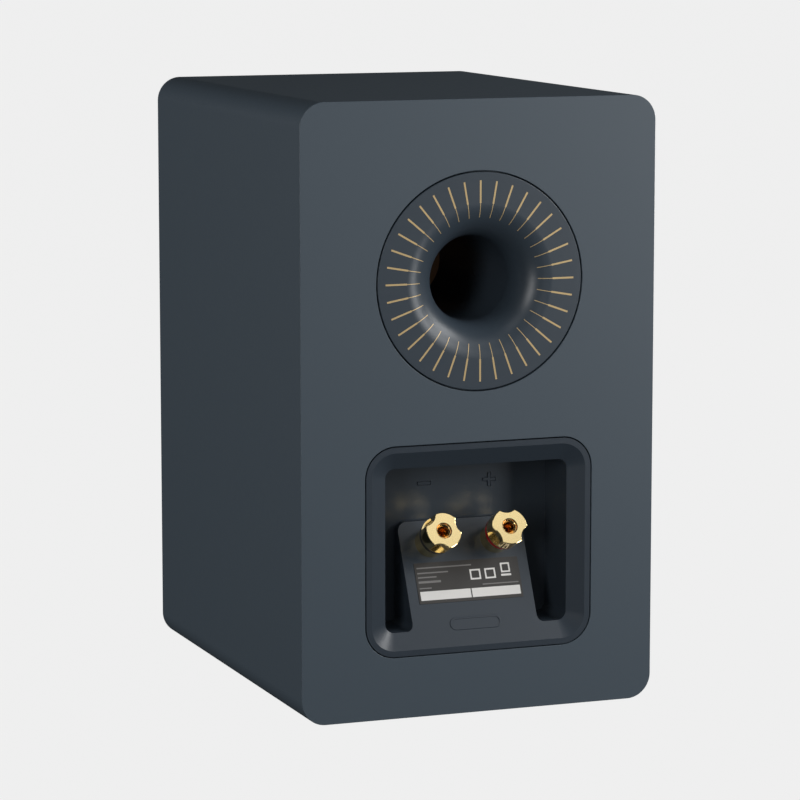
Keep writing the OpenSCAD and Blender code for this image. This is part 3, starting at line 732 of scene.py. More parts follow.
def follow_radius(piece: Thing, middle: Vector) -> Thing:
    """Bakes a ring-shaped piece's placement into its mesh.

    Args:
        piece: the piece, with no parent.
        middle: a point on the ring's axis, in metres; the axis runs along Y. Not used.

    Returns:
        The piece.
    """
    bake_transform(piece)
    return piece


# ------------------------------------------------------------------ cabinet


@dataclass
class Cabinet:
    """The painted fibreboard box with its cut-outs.

    Attributes:
        width: outer width.
        height: outer height.
        depth: outer depth.
        edge_radius: radius of the four long edges.
        wall: thickness of the flanks, top and bottom.
        baffle: thickness of the front.
        rear: thickness of the rear.
        broken: rounding of the crisp edges.
    """

    width: float = 150.0
    height: float = 245.0
    depth: float = 186.0
    edge_radius: float = 10.0
    wall: float = 12.0
    baffle: float = 15.0
    rear: float = 12.0
    broken: float = 0.45
    skin: Thing = field(init=False)

    @property
    def rear_y(self) -> float:
        """The rear face, from the middle."""
        return self.depth / 2

    @property
    def front_y(self) -> float:
        """The baffle face, from the middle."""
        return -self.depth / 2

    def start(self) -> None:
        """Makes the hollow box that the other classes cut."""
        middle = rear_place(0, self.height / 2)
        outline = rounded_rect(self.width, self.height, self.edge_radius, 24)
        rings = [[middle.point(x, y, z) for x, y in outline] for z in (self.front_y, self.rear_y)]
        self.skin = loft("cabinet_skin", rings, caps=True)
        inside = rounded_rect(self.width - 2 * self.wall, self.height - 2 * self.wall, 2, 4)
        self.cut(prism("inside", middle, inside, self.front_y + self.baffle, self.rear_y - self.rear), True)

    def cut(self, tool: Thing, raw: bool = False) -> None:
        """Cuts the box.

        Args:
            tool: the tool, which is used up.
            raw: whether the cut is left unpainted.
        """
        for thing in (self.skin, tool):
            if not thing.data.materials:
                thing.data.materials.append(PAINT.material())
                thing.data.materials.append(RAW_BOARD.material())
        if raw:
            for face in tool.data.polygons:
                face.material_index = 1
        carve(self.skin, tool)

    def finish(self) -> None:
        """Rounds the box's edges and hands it over."""
        smooth(break_edges(self.skin, self.broken))
        dress(self.skin, PAINT, "cabinet", "cabinet_shell", "front_baffle", "rear_panel")


@dataclass
class Fitting:
    """Something let into the rear of the cabinet.

    Attributes:
        cabinet: the cabinet that it sits in.
        height: height of its middle above the base.
    """

    cabinet: Cabinet
    height: float = 0.0

    @property
    def place(self) -> Place:
        """Its middle on the rear face, drawn as it is seen from behind."""
        return rear_place(self.cabinet.rear_y, self.height)

    def let_in(self, rebate: Sequence[Point2], depth: float, hole: Sequence[Point2], wall: float) -> None:
        """Cuts its rebate and its unpainted hole.

        Args:
            rebate: outline of the rebate.
            depth: depth of the rebate.
            hole: outline of the hole.
            wall: thickness of the wall that the hole goes through.
        """
        self.cabinet.cut(prism("rebate", self.place, rebate, -depth, 5.0))
        self.cabinet.cut(prism("hole", self.place, hole, -wall - 5, 5.0), True)


# ------------------------------------------------------------------ port


@dataclass
class ReflexPort(Fitting):
    """The flared port with its inlaid rays.

    Attributes:
        flange: outer radius of the flange.
        flat: radius where the flat turns into the flare.
        bore: radius of the tube's bore.
        wall: wall of the tube.
        length: length from the rear face to its inner end.
        gap: gap round the flange.
        seat: depth of the flange's rebate.
        rays: number of rays.
        ray_end: outer end of a ray.
        ray_wide: width of a ray on the flat.
        ray_thin: width of a ray in the flare.
        ray_turn: how far a ray reaches round the flare, in degrees.
    """

    height: float = 173.2
    flange: float = 43.1
    flat: float = 31.0
    bore: float = 17.0
    wall: float = 2.5
    length: float = 88.0
    gap: float = 0.6
    seat: float = 3.5
    rays: int = 36
    ray_end: float = 39.8
    ray_wide: float = 0.72
    ray_thin: float = 0.27
    ray_turn: float = 25.0

    def flare(self, turn: float, offset: float = 0.0) -> Point2:
        """A point of the flare.

        Args:
            turn: how far round the flare it is, in degrees from the flat.
            offset: how far it lies behind the visible face.

        Returns:
            Its radius and its height over the rear face.
        """
        radius = self.flat - self.bore
        angle = math.radians(turn)
        reach = radius - offset
        return self.flat - reach * math.sin(angle), reach * math.cos(angle) - radius

    def build(self) -> None:
        """Cuts the cabinet and makes the tube and its rays."""
        hole = circle(self.flat + self.gap, 128)
        self.let_in(circle(self.flange + self.gap, 256), self.seat, hole, self.cabinet.rear)
        turns = [90.0 * k / 28 for k in range(1, 29)]
        outer, end = self.bore + self.wall, -self.length
        rim = [
            (self.flat, 0, 0),
            (self.flange, 0, 0.25),
            (self.flange, -self.wall, 0),
            (self.flat, -self.wall, 0),
        ]
        tail = [
            (outer, self.flare(90, self.wall)[1] - 1, 0),
            (outer, end, 0.8),
            (self.bore, end, 0.8),
            (self.bore, self.flare(90)[1] - 1, 0),
        ]
        back = [self.flare(turn, self.wall) for turn in turns]
        face = [self.flare(turn) for turn in reversed(turns)]
        section = [*soften(rim, 3), *back, *soften(tail, 3), *face]
        tube = lathe("port", self.place, section, 256, closed=True)
        dress(smooth(tube), PORT_PLASTIC, "cabinet", "port_tube")
        self.inlay()

    def inlay(self) -> None:
        """Makes the rays: wide on the flat, thin where they run into the flare."""
        proud, turns = 0.03, 12
        stations = [(self.ray_end, proud, self.ray_wide), (self.flat - 0.1, proud, self.ray_wide)]
        stations.append((self.flat - 0.2, proud, self.ray_thin))
        for k in range(1, turns + 1):
            stations.append((*self.flare(self.ray_turn * k / turns, -proud), self.ray_thin))
        points: list[Vector] = []
        faces: list[Sequence[int]] = []
        for ray in range(self.rays):
            angle = math.tau * ray / self.rays
            along = Vector((math.cos(angle), math.sin(angle)))
            aside = along.orthogonal()
            base = len(points)
            for radius, height, width in stations:
                for side in (-0.5, 0.5):
                    spot = along * radius + aside * width * side
                    points.append(self.place.point(spot.x, spot.y, height))
            firsts = range(base, base + 2 * len(stations) - 2, 2)
            faces.extend((first, first + 1, first + 3, first + 2) for first in firsts)
        inlay = new_piece("port_rays_inlay", points, faces)
        for face in inlay.data.polygons:
            if face.normal.y < 0:
                face.flip()
        dress(inlay, GOLD_INLAY, "cabinet", "port_rays")


# ------------------------------------------------------------------ terminal cup


@dataclass
class TerminalCup(Fitting):
    """The recessed cup with its sloped tongue, signs, badge and rating label.

    Attributes:
        plate: width, height and corner radius of its plate.
        plate_depth: thickness of the plate.
        gap: gap round the plate.
        seat: depth of the plate's rebate.
        rim: flat rim round the mouth.
        lip: width of the slanted lip.
        mouth_radius: corner radius of the recess.
        depth: depth of the recess.
        wall: its wall.
        slope: slope of lip and tongue, from the rear face.
        tongue_width: width of the tongue.
        tongue_length: its length along the slope.
        tongue_radius: radius of its upper corners.
        pocket_radius: radius at the foot of the pockets beside it.
        label: width, length and corner radius of the rating label.
        label_at: distance from the rim to the label along the slope.
        sign_height: height of the polarity signs above the base.
        sign: length and stroke of a sign.
        sign_groove: width of the fine groove round a sign.
    """

    height: float = 67.0
    plate: Corner = (95.8, 83.9, 12.3)
    plate_depth: float = 2.5
    gap: float = 0.5
    seat: float = 3.5
    rim: float = 2.3
    lip: float = 6.75
    mouth_radius: float = 3.8
    depth: float = 25.0
    wall: float = 2.5
    slope: float = 25.5
    tongue_width: float = 53.4
    tongue_length: float = 52.5
    tongue_radius: float = 4.0
    pocket_radius: float = 2.8
    label: Corner = (44.8, 16.9, 0.4)
    label_at: float = 18.2
    sign_height: float = 89.6
    sign: Point2 = (5.5, 1.2)
    sign_groove: float = 0.28

    @property
    def mouth(self) -> Point2:
        """Width and height of the recess."""
        inset = 2 * (self.rim + self.lip)
        return self.plate[0] - inset, self.plate[1] - inset

    @property
    def rim_z(self) -> float:
        """Height of the mouth's lower rim above the base."""
        return self.height - self.plate[1] / 2 + self.rim

    def on_tongue(self, x: float, along: float) -> Place:
        """A place on the tongue.

        Args:
            x: to the right seen from behind.
            along: distance from the rim, up the slope.

        Returns:
            The place, with its second axis up the slope.
        """
        s, c = math.sin(math.radians(self.slope)), math.cos(math.radians(self.slope))
        origin = Vector((-x, self.cabinet.rear_y - along * s, self.rim_z + along * c))
        return Place(origin, Vector((-1, 0, 0)), Vector((0, -s, c)), Vector((0, c, s)))

    def build(self) -> None:
        """Cuts the cabinet and makes the cup, its signs, its badge and its label."""
        width, height, radius = self.plate
        around = rounded_rect(width + 2 * self.gap, height + 2 * self.gap, radius + self.gap, 24)
        body = (self.mouth[0] + 2 * self.wall, self.mouth[1] + 2 * self.wall)
        hole = rounded_rect(body[0] + 2 * self.gap, body[1] + 2 * self.gap, self.mouth_radius + self.wall, 8)
        self.let_in(around, self.seat, hole, self.cabinet.rear)

        cup = prism("cup", self.place, rounded_rect(width, height, radius, 24), -self.plate_depth, 0.0)
        bowl = rounded_rect(*body, self.mouth_radius + self.wall, 12)
        carve(cup, prism("bowl", self.place, bowl, -self.depth - self.wall, -1.0), Cut.WITH)
        carve(cup, self.lip_room())
        carve(cup, self.sloped_room())
        carve(cup, self.deep_room())
        for side in (-1, 1):
            stud = self.on_tongue(side * BindingPost.spread, BindingPost.along)
            hole = circle(BindingPost.stud + BindingPost.running_gap, 48)
            carve(cup, prism("stud_hole", stud, hole, -9.0, 4.0))
        for side in (-1, 1):
            carve(cup, self.sign_moat(side))
        dress(smooth(break_edges(cup, 0.3, 3, 14.0), 30.0), CUP_PLASTIC, "cabinet", "terminal_cup")
        self.signs()
        self.badge()
        self.rating_label()

    def lip_room(self) -> Thing:
        """Makes the tool for the room above the slanted lip.

        Returns:
            The solid to cut away.
        """
        width, height, radius = self.plate
        fall = math.tan(math.radians(self.slope))
        rings = []
        for inset, down, corner in (
            (self.rim - 0.6, -0.6 * fall, radius - self.rim + 0.55),
            (self.rim, 0.0, radius - self.rim),
            (self.rim + self.lip, self.lip * fall, self.mouth_radius),
        ):
            outline = rounded_rect(width - 2 * inset, height - 2 * inset, corner, 16)
            rings.append([self.place.point(x, y, -down) for x, y in outline])
        return loft("lip_room", rings, caps=True)

    def sloped_room(self) -> Thing:
        """Makes the tool for the room in front of the tongue's slope, inside the mouth.

        Returns:
            The solid to cut away.
        """
        width, height = self.mouth
        outline = rounded_rect(width, height, self.mouth_radius, 16)
        room = prism("sloped_room", self.place, outline, -self.depth, 0.0)
        sheet = rounded_rect(2 * width, 4 * height, 1.0, 2)
        return carve(room, prism("below_slope", self.on_tongue(0.0, 0.0), sheet, -4 * self.depth, 0.0))

    def deep_room(self) -> Thing:
        """Makes the tool for the full-depth room above and beside the tongue.

        Returns:
            The solid to cut away.
        """
        half_w, half_h = self.mouth[0] / 2, self.mouth[1] / 2
        tongue = self.tongue_width / 2
        top = self.rim_z + self.tongue_length * math.cos(math.radians(self.slope)) - self.height
        corner, foot = self.mouth_radius, self.pocket_radius
        corners = [
            (-half_w, -half_h, corner),
            (-tongue, -half_h, foot),
            (-tongue, top, self.tongue_radius),
            (tongue, top, self.tongue_radius),
            (tongue, -half_h, foot),
            (half_w, -half_h, corner),
            (half_w, half_h, corner),
            (-half_w, half_h, corner),
        ]
        return prism("deep_room", self.place, soften(corners, 12, True), -self.depth, -0.5)

    def sign_moat(self, side: int) -> Thing:
        """Makes the tool for the fine groove that sets a sign off from the back of the recess.

        Args:
            side: -1 for the negative sign, 1 for the positive one.

        Returns:
            The solid to cut away.
        """
        length, stroke = (size + 2 * self.sign_groove for size in self.sign)
        middle = self.place.moved(side * BindingPost.spread, self.sign_height - self.height)
        low, high = -self.depth - 0.45, -self.depth + 0.5
        moat = prism("moat", middle, rounded_rect(length, stroke, 0.4, 4), low, high)
        if side > 0:
            upright = rounded_rect(stroke, length, 0.4, 4)
            carve(moat, prism("moat_upright", middle, upright, low, high), Cut.WITH)
        return moat

    def signs(self) -> None:
        """Makes the raised polarity signs on the back of the recess."""
        length, stroke = self.sign
        low, high = -self.depth - 0.6, -self.depth + 0.35
        up, aside = self.sign_height - self.height, BindingPost.spread
        left, right = self.place.moved(-aside, up), self.place.moved(aside, up)
        across, upright = (length, stroke, stroke * 0.2), (stroke, length, stroke * 0.2)
        minus = plate("minus_bar", left, across, low, high, 0.08)
        plus = plate("plus_bar", right, across, low, high, 0.08)
        carve(plus, plate("plus_upright", right, upright, low, high, 0.08), Cut.WITH)
        dress(smooth(merge("polarity_signs", [minus, plus]), 30.0), CUP_PLASTIC, "cabinet")

    def badge(self) -> None:
        """Makes a plain raised outline at the foot of the tongue, where a maker puts a badge."""
        place = self.on_tongue(0.0, 9.2)
        outer = plate("badge", place, (22.0, 5.2, 2.6), -0.3, 0.25, 0.12)
        carve(outer, prism("badge_inside", place, rounded_rect(20.6, 3.8, 1.9, 8), -0.6, 1.0))
        dress(smooth(outer, 30.0), CUP_PLASTIC, "cabinet")

    def rating_label(self) -> None:
        """Makes the label: a dark film, two white boxes and plain bars in place of its print."""
        place = self.on_tongue(0.0, self.label_at + self.label[1] / 2)
        film = plate("rating_label_film", place, self.label, 0.0, 0.2, 0.04)
        dress(smooth(film, 30.0), LABEL_FILM, "cabinet", "rating_label")
        left, foot = -self.label[0] / 2 + 0.9, -self.label[1] / 2 + 1.35
        boxes = [(left, 21.6, foot, 3.7), (left + 22.1, 20.9, foot, 3.7), (14.2, 4.4, 0.75, 0.85)]
        marks = [(0.9, 4.6, 0.1, 4.3), (7.3, 4.6, 0.1, 4.3), (14.4, 4.0, 2.2, 4.0)]
        lines = [
            (left, 23.5, 6.0, 0.55), (left, 13.2, 3.9, 0.55), (left, 8.0, 2.1, 0.55),
            (left, 9.6, 0.0, 0.9), (left, 5.2, -2.3, 0.45), (5.6, 15.6, -2.3, 0.45),
        ]
        white = [self.bar(place, *row) for row in boxes]
        for x, wide, y, tall in marks:
            inside = rounded_rect(wide - 1.3, tall - 1.3, 0.3, 3)
            room = prism("mark_inside", place.moved(x + wide / 2, y + tall / 2), inside, 0.0, 1.0)
            white.append(carve(self.bar(place, x, wide, y, tall), room))
        dress(merge("label_boxes", white), LABEL_INK, "cabinet")
        dress(merge("label_lines", [self.bar(place, *row) for row in lines]), LABEL_FAINT, "cabinet")

    def bar(self, place: Place, x: float, wide: float, y: float, tall: float) -> Thing:
        """A printed bar on the label, from its left and lower edge."""
        return plate("print", place.moved(x + wide / 2, y + tall / 2), (wide, tall, 0.12), 0.15, 0.215, 0.01)


# ------------------------------------------------------------------ binding posts


class Polarity(Enum):
    """The two posts, by side seen from behind."""

    NEGATIVE = -1
    POSITIVE = 1


@dataclass
class BindingPost:
    """One screw-down post: collar, coloured ring, fluted knob and threaded stud.

    Attributes:
        cup: the cup that it stands in.
        polarity: which post it is.
        flute_angle: where its first flute points, seen from behind.
        stud: radius of the stud.
        stud_low: inner end of the stud, over the tongue.
        stud_top: outer end of the stud.
        thread: pitch and depth of the thread.
        socket: radius of the plug socket.
        socket_foot: bottom of the socket.
        funnel: radius and depth of the socket's flared mouth.
        wire_hole: radius and height of the hole for bare wire.
        collar: radius and length of the collar.
        ring: radius, foot and top of the coloured ring.
        knob: radius, foot and top of the knob.
        foot: thickness of the full round at the knob's foot.
        flute: radius and depth of a flute.
        running_gap: radial gap between the stud and what turns on it.
        spread: distance of either post from the middle of the tongue.
        along: distance of the posts from the rim, up the tongue.
    """

    cup: TerminalCup
    polarity: Polarity
    flute_angle: float
    stud: float = 3.0
    stud_low: float = -14.0
    stud_top: float = 17.2
    thread: Point2 = (1.0, 0.28)
    socket: float = 2.0
    socket_foot: float = 0.2
    funnel: Point2 = (2.75, 0.7)
    wire_hole: Point2 = (1.2, 13.05)
    collar: Point2 = (6.2, 8.5)
    ring: Corner = (7.3, 8.55, 10.75)
    knob: Corner = (7.45, 10.8, 17.85)
    foot: float = 0.6
    flute: Point2 = (5.7, 1.65)
    running_gap: float = 0.05
    spread: ClassVar[float] = 14.1
    along: ClassVar[float] = 43.3

    @property
    def word(self) -> str:
        """The post's name in the bodies and parts."""
        return self.polarity.name.lower()

    @property
    def place(self) -> Place:
        """Its foot on the tongue."""
        return self.cup.on_tongue(self.polarity.value * self.spread, self.along)

    @property
    def bore(self) -> float:
        """Radius of the bore in everything that sits on the stud."""
        return self.stud + self.running_gap

    def build(self) -> None:
        """Makes the post's four pieces."""
        radius, length = self.collar
        collar = self.sleeve("collar_" + self.word, radius, (0.0, length), (0.0, 0.1, 0.35, 0.1))
        dress(collar, POST_GOLD, "cabinet", "post_collars")
        radius, *ends = self.ring
        ring = self.sleeve(f"ring_{self.word}_gloss", radius, ends, (0.1, 0.3, 0.3, 0.1))
        colour = RED_RING if self.polarity is Polarity.POSITIVE else BLACK_RING
        dress(ring, colour, f"ring_{self.word}_body", "ring_" + self.word)
        dress(smooth(self.fluted_knob(), 24.0), POST_GOLD, f"knob_{self.word}_body", "knob_" + self.word)
        self.threaded_stud()

    def sleeve(self, name: str, radius: float, ends: Sequence[float], breaks: Sequence[float]) -> Thing:
        """Makes a plain sleeve on the stud.

        Args:
            name: its name.
            radius: its outer radius.
            ends: height of its foot and its top.
            breaks: rounding of its edges, from the bore at the foot outwards and up.

        Returns:
            The sleeve.
        """
        low, high = ends
        corners = list(zip((self.bore, radius, radius, self.bore), (low, low, high, high), breaks))
        return smooth(lathe(name, self.place, soften(corners, 4, True), 128, closed=True))

    def outline(self, inset: float, fluted: bool) -> list[Point2]:
        """The knob's outline.

        Args:
            inset: how far it lies inside the full knob.
            fluted: whether the flutes are in it.

        Returns:
            Its points, the same number for any inset.
        """
        radius = self.knob[0] - inset
        reach, depth = self.flute[0] + inset, self.flute[1]
        centre = self.knob[0] - depth + self.flute[0]
        edge = math.acos((radius**2 + centre**2 - reach**2) / (2 * radius * centre))
        points: list[Point2] = []
        for third in range(3):
            middle = math.radians(self.flute_angle + 120.0 * third)
            for k in range(13):
                turn = edge * (k / 6 - 1)
                away = radius
                if fluted:
                    across = centre * math.sin(turn)
                    away = centre * math.cos(turn) - math.sqrt(max(0.0, reach**2 - across**2))
                points.append((away * math.cos(middle + turn), away * math.sin(middle + turn)))
            rest = math.tau / 3 - 2 * edge
            for k in range(1, 24):
                angle = middle + edge + rest * k / 24
                points.append((radius * math.cos(angle), radius * math.sin(angle)))
        return points

    def fluted_knob(self) -> Thing:
        """Makes the knob.

        Returns:
            The knob.
        """
        _, low, high = self.knob
        ledge = low + self.foot
        steps = [(0.12, low, False), (0.03, low + 0.03, False), (0.0, low + 0.12, False)]
        steps += [(0.0, ledge - 0.05, False), (0.05, ledge, False), (0.0, ledge, True)]
        steps += [(0.0, high - 0.32, True), (0.08, high - 0.1, True), (0.3, high, True)]
        rings = []
        for inset, z, fluted in steps:
            rings.append([self.place.point(x, y, z) for x, y in self.outline(inset, fluted)])
        spokes = [Vector(point).normalized() for point in self.outline(0.0, False)]
        for radius, z in ((self.bore + 0.25, high), (self.bore, high - 0.25), (self.bore, low)):
            rings.append([self.place.point(radius * way.x, radius * way.y, z) for way in spokes])
        return loft(f"knob_{self.word}_fluted", rings, closed=True)

    def threaded_stud(self) -> None:
        """Makes the stud with its thread, funnel, socket and wire hole."""
        count, (pitch, groove) = 64, self.thread
        first, last = self.collar[1] + 0.4, self.stud_top - 0.5
        rows = int((last - first) / 0.125)
        threads = [first + (last - first) * k / rows for k in range(rows + 1)]
        rings: list[Ring] = [[self.place.point(0, 0, self.stud_low)]]
        for z in [self.stud_low, first - 0.4, *threads, self.stud_top - 0.15]:
            ring = []
            for k in range(count):
                phase = (z / pitch - k / count) % 1.0
                cut = groove * (1 - abs(2 * phase - 1)) if first <= z <= last else 0.0
                angle, radius = math.tau * k / count, self.stud - cut
                ring.append(self.place.point(radius * math.cos(angle), radius * math.sin(angle), z))
            rings.append(ring)
        mouth, deep = self.funnel
        bowl = [
            (self.stud - 0.1, self.stud_top, 0),
            (mouth, self.stud_top, 0.06),
            (self.socket, self.stud_top - deep, 0.3),
            (self.socket, self.socket_foot, 0),
            (0.0, self.socket_foot - 0.6, 0),
        ]
        stud = loft(f"stud_{self.word}", rings + turned(self.place, soften(bowl, 4), count))
        place = self.place.moved(z=self.wire_hole[1])
        across = Place(place.origin, place.up, place.out, place.right)
        carve(stud, prism("wire_hole", across, circle(self.wire_hole[0], 32), -5.0, 5.0))
        dress(smooth(stud), STUD_METAL_AND_BOUNCE_TINT, "cabinet", "post_studs")


# ------------------------------------------------------------------ drivers


def dome_section(radius: float, rise: float, rim: float, steps: int) -> list[Point2]:
    """The section of a shallow round dome.

    Args:
        radius: its radius at the rim.
        rise: its height over the rim.
        rim: the rim's height.
        steps: flats from the rim to the pole.

    Returns:
        Radius and height of its points, from the rim to the pole.
    """
    ball = (radius**2 + rise**2) / (2 * rise)
    turns = [math.asin(radius / ball) * k / steps for k in range(steps, -1, -1)]
    return [(ball * math.sin(turn), rim + rise - ball + ball * math.cos(turn)) for turn in turns]


def roll_section(middle: float, radius: float, seat: float, steps: int) -> list[Point2]:
    """The section of a half roll over a seat, from its inner foot to its outer foot."""
    turns = [math.pi * k / steps for k in range(steps + 1)]
    return [(middle - radius * math.cos(turn), seat + radius * math.sin(turn)) for turn in turns]


@dataclass
class Driver(Fitting):
    """A driver let into the baffle.

    Attributes:
        plate: radius and thickness of its flange or faceplate.
        cutout: radius of the hole in the baffle.
    """

    plate: Point2 = (0.0, 0.0)
    cutout: float = 0.0

    @property
    def place(self) -> Place:
        """Its middle on the baffle face, drawn as it is seen from the front."""
        return front_place(self.cabinet.front_y, self.height)

    def open_baffle(self) -> None:
        """Cuts its rebate and its hole."""
        radius, thick = self.plate
        self.let_in(circle(radius + 0.3, 192), thick + 1.0, circle(self.cutout, 128), self.cabinet.baffle)


@dataclass
class Woofer(Driver):
    """The cone driver, as it is seen from the front.

    Attributes:
        land: inner and outer radius of the surround's glued rim.
        land_depth: depth of that rim.
        cone: outer radius and depth of the cone's edge.
        hem: width of the flat at the cone's edge.
        throat: radius and depth of the cone's throat.
        bow: how far the cone's face sinks below a straight line.
        cap: radius and rise of the dust cap.
    """

    height: float = 76.0
    plate: Point2 = (59.0, 4.0)
    cutout: float = 52.6
    land: Point2 = (47.5, 50.5)
    land_depth: float = 5.0
    cone: Point2 = (40.5, 5.0)
    hem: float = 3.6
    throat: Point2 = (12.65, 24.0)
    bow: float = 0.54
    cap: Point2 = (17.0, 5.0)

    def build(self) -> None:
        """Cuts the baffle and makes the driver's visible pieces."""
        self.open_baffle()
        self.trim()
        self.roll()
        self.cone_and_cap()

    def trim(self) -> None:
        """Makes the trim ring that covers the surround's glued rim."""
        inner, outer = self.land[1] - 2.0, self.land[1] - 0.05
        foot = -self.land_depth + 0.82
        corners = [(outer, foot, 0), (outer, -0.6, 0.7), (inner + 0.6, -1.6, 0.8), (inner, foot, 0)]
        ring = lathe("woofer_trim", self.place, soften(corners, 5, True), 192, closed=True)
        dress(smooth(ring), RUBBER, "cabinet")

    def roll(self) -> None:
        """Makes the half-roll surround."""
        inner, outer = self.cone[0], self.land[0]
        middle, radius, wall = (inner + outer) / 2, (outer - inner) / 2, 0.8
        seat, rim = -self.land_depth, self.land[1] - 0.1
        top = [p for p in roll_section(middle, radius + wall, seat, 24) if p[1] > seat + wall + 0.25]
        section = [(inner - 3.0, seat + wall), (inner - 0.9, seat + wall), *top]
        section += [(outer + 0.9, seat + wall), (rim, seat + wall), (rim, seat)]
        section += [*reversed(roll_section(middle, radius, seat, 24)), (inner - 3.0, seat)]
        piece = lathe("woofer_roll", self.place, section, 192, closed=True)
        follow_radius(piece, self.place.point(0, 0, 0))
        dress(smooth(piece, 50.0), RUBBER, "", "woofer_surround")

    def cone_and_cap(self) -> None:
        """Makes the pulp cone, gently curved, and its dust cap."""
        (rim, rim_depth), (throat, throat_depth) = self.cone, self.throat
        edge, drop = rim - self.hem, throat_depth - rim_depth
        face: list[Point2] = [(rim, -rim_depth)]
        for share in (k / 16 for k in range(17)):
            sag = self.bow * math.sin(math.pi * share)
            face.append((edge + (throat - edge) * share, -rim_depth - drop * share - sag))
        back = [(r, z - 0.55 - 0.45 * (r - throat) / (rim - throat)) for r, z in reversed(face)]
        piece = lathe("woofer_cone_pulp", self.place, [*face, *back], 192, closed=True)
        dress(smooth(piece, 50.0), PULP, "woofer_moving", "woofer_cone")

        radius, rise = self.cap
        foot = -rim_depth - drop * (radius - edge) / (throat - edge) - 0.2
        skirt = [(radius - 0.7, foot - 0.5), (radius + 0.5, foot - 0.5), (radius + 0.55, foot + 0.25)]
        piece = lathe("woofer_cap", self.place, [*skirt, *dome_section(radius, rise, foot, 20)], 128)
        dress(smooth(piece, 50.0), PULP, "woofer_moving", "woofer_dust_cap")


@dataclass
class Tweeter(Driver):
    """The dome driver, as it is seen from the front.

    Attributes:
        mouth: radius of the shallow horn at the face.
        throat: radius of the horn's throat.
        dome: radius and rise of the dome.
        dome_depth: depth of the dome's rim.
        land: width of the surround.
        screw_circle: radius that the screws sit on.
        screw_seat: radius at the face, radius at the foot and depth of a screw's seat.
    """

    height: float = 186.0
    plate: Point2 = (42.0, 4.0)
    cutout: float = 28.0
    mouth: float = 27.0
    throat: float = 17.0
    dome: Point2 = (12.8, 3.8)
    dome_depth: float = 5.6
    land: float = 3.2
    screw_circle: float = 36.5
    screw_seat: Corner = (2.9, 1.6, 1.9)

    def build(self) -> None:
        """Cuts the baffle and makes the driver's visible pieces."""
        self.open_baffle()
        radius, thick = self.plate
        flare = self.mouth - self.throat
        turns = [math.pi / 2 * k / 14 for k in range(13, 0, -1)]
        horn = [(self.mouth - flare * math.sin(turn), -thick * (1 - math.cos(turn))) for turn in turns]
        rim = soften([(self.mouth, 0, 0), (radius, 0, 0.5), (radius, -thick, 0), (self.throat, -thick, 0)], 5)
        face = lathe("tweeter_plate", self.place, [*rim, *horn], 192, closed=True)
        wide, narrow, deep = self.screw_seat
        seat = [(0.0, 0.4), (wide, 0.4), (wide, -0.02), (narrow, -deep), (0.0, -deep)]
        for x, y in circle(self.screw_circle, 4, 45.0):
            carve(face, lathe("screw_seat", self.place.moved(x, y), seat, 40))
        dress(smooth(face), BLACK_PLASTIC, "cabinet", "tweeter_faceplate")
        self.dome_and_roll()

    def dome_and_roll(self) -> None:
        """Makes the silk dome and its half-roll surround."""
        radius, rise = self.dome
        seat, rim = -self.dome_depth, radius + self.land
        piece = lathe("tweeter_dome_silk", self.place, dome_section(radius, rise, seat, 18), 128)
        dress(smooth(piece, 50.0), SILK, "tweeter_moving", "tweeter_dome")
        half = self.land / 2
        section = roll_section(radius + half, half, seat, 16)
        section += [(rim + 3.0, seat), (rim + 3.0, seat - 0.35), (radius + 0.3, seat - 0.35)]
        piece = lathe("tweeter_roll", self.place, section, 128, closed=True)
        follow_radius(piece, self.place.point(0, 0, 0))
        dress(smooth(piece, 50.0), SILK, "", "tweeter_surround")


# ------------------------------------------------------------------ studio


@dataclass
class Softbox:
    """One soft rectangular light.

    Attributes:
        name: its name.
        azimuth: degrees to the right of the rear face's normal, seen from behind.
        elevation: degrees above the horizon.
        distance: metres from the object.
        size: width and height in metres.
        power: watts.
    """

    name: str
    azimuth: float
    elevation: float
    distance: float
    size: Point2
    power: float

    def place(self, target: Vector) -> None:
        """Hangs the light and aims it.

        Args:
            target: the point that it faces, in metres.
        """
        lamp = bpy.data.lights.new(self.name, "AREA")
        lamp.shape, lamp.size, lamp.size_y = "RECTANGLE", *self.size
        lamp.energy = self.power
        holder = bpy.data.objects.new(self.name, lamp)
        bpy.context.scene.collection.objects.link(holder)
        a, e = math.radians(self.azimuth), math.radians(self.elevation)
        way = Vector((-math.sin(a) * math.cos(e), math.cos(a) * math.cos(e), math.sin(e)))
        holder.location = target + way * self.distance
        holder.rotation_euler = way.to_track_quat("Z", "Y").to_euler()


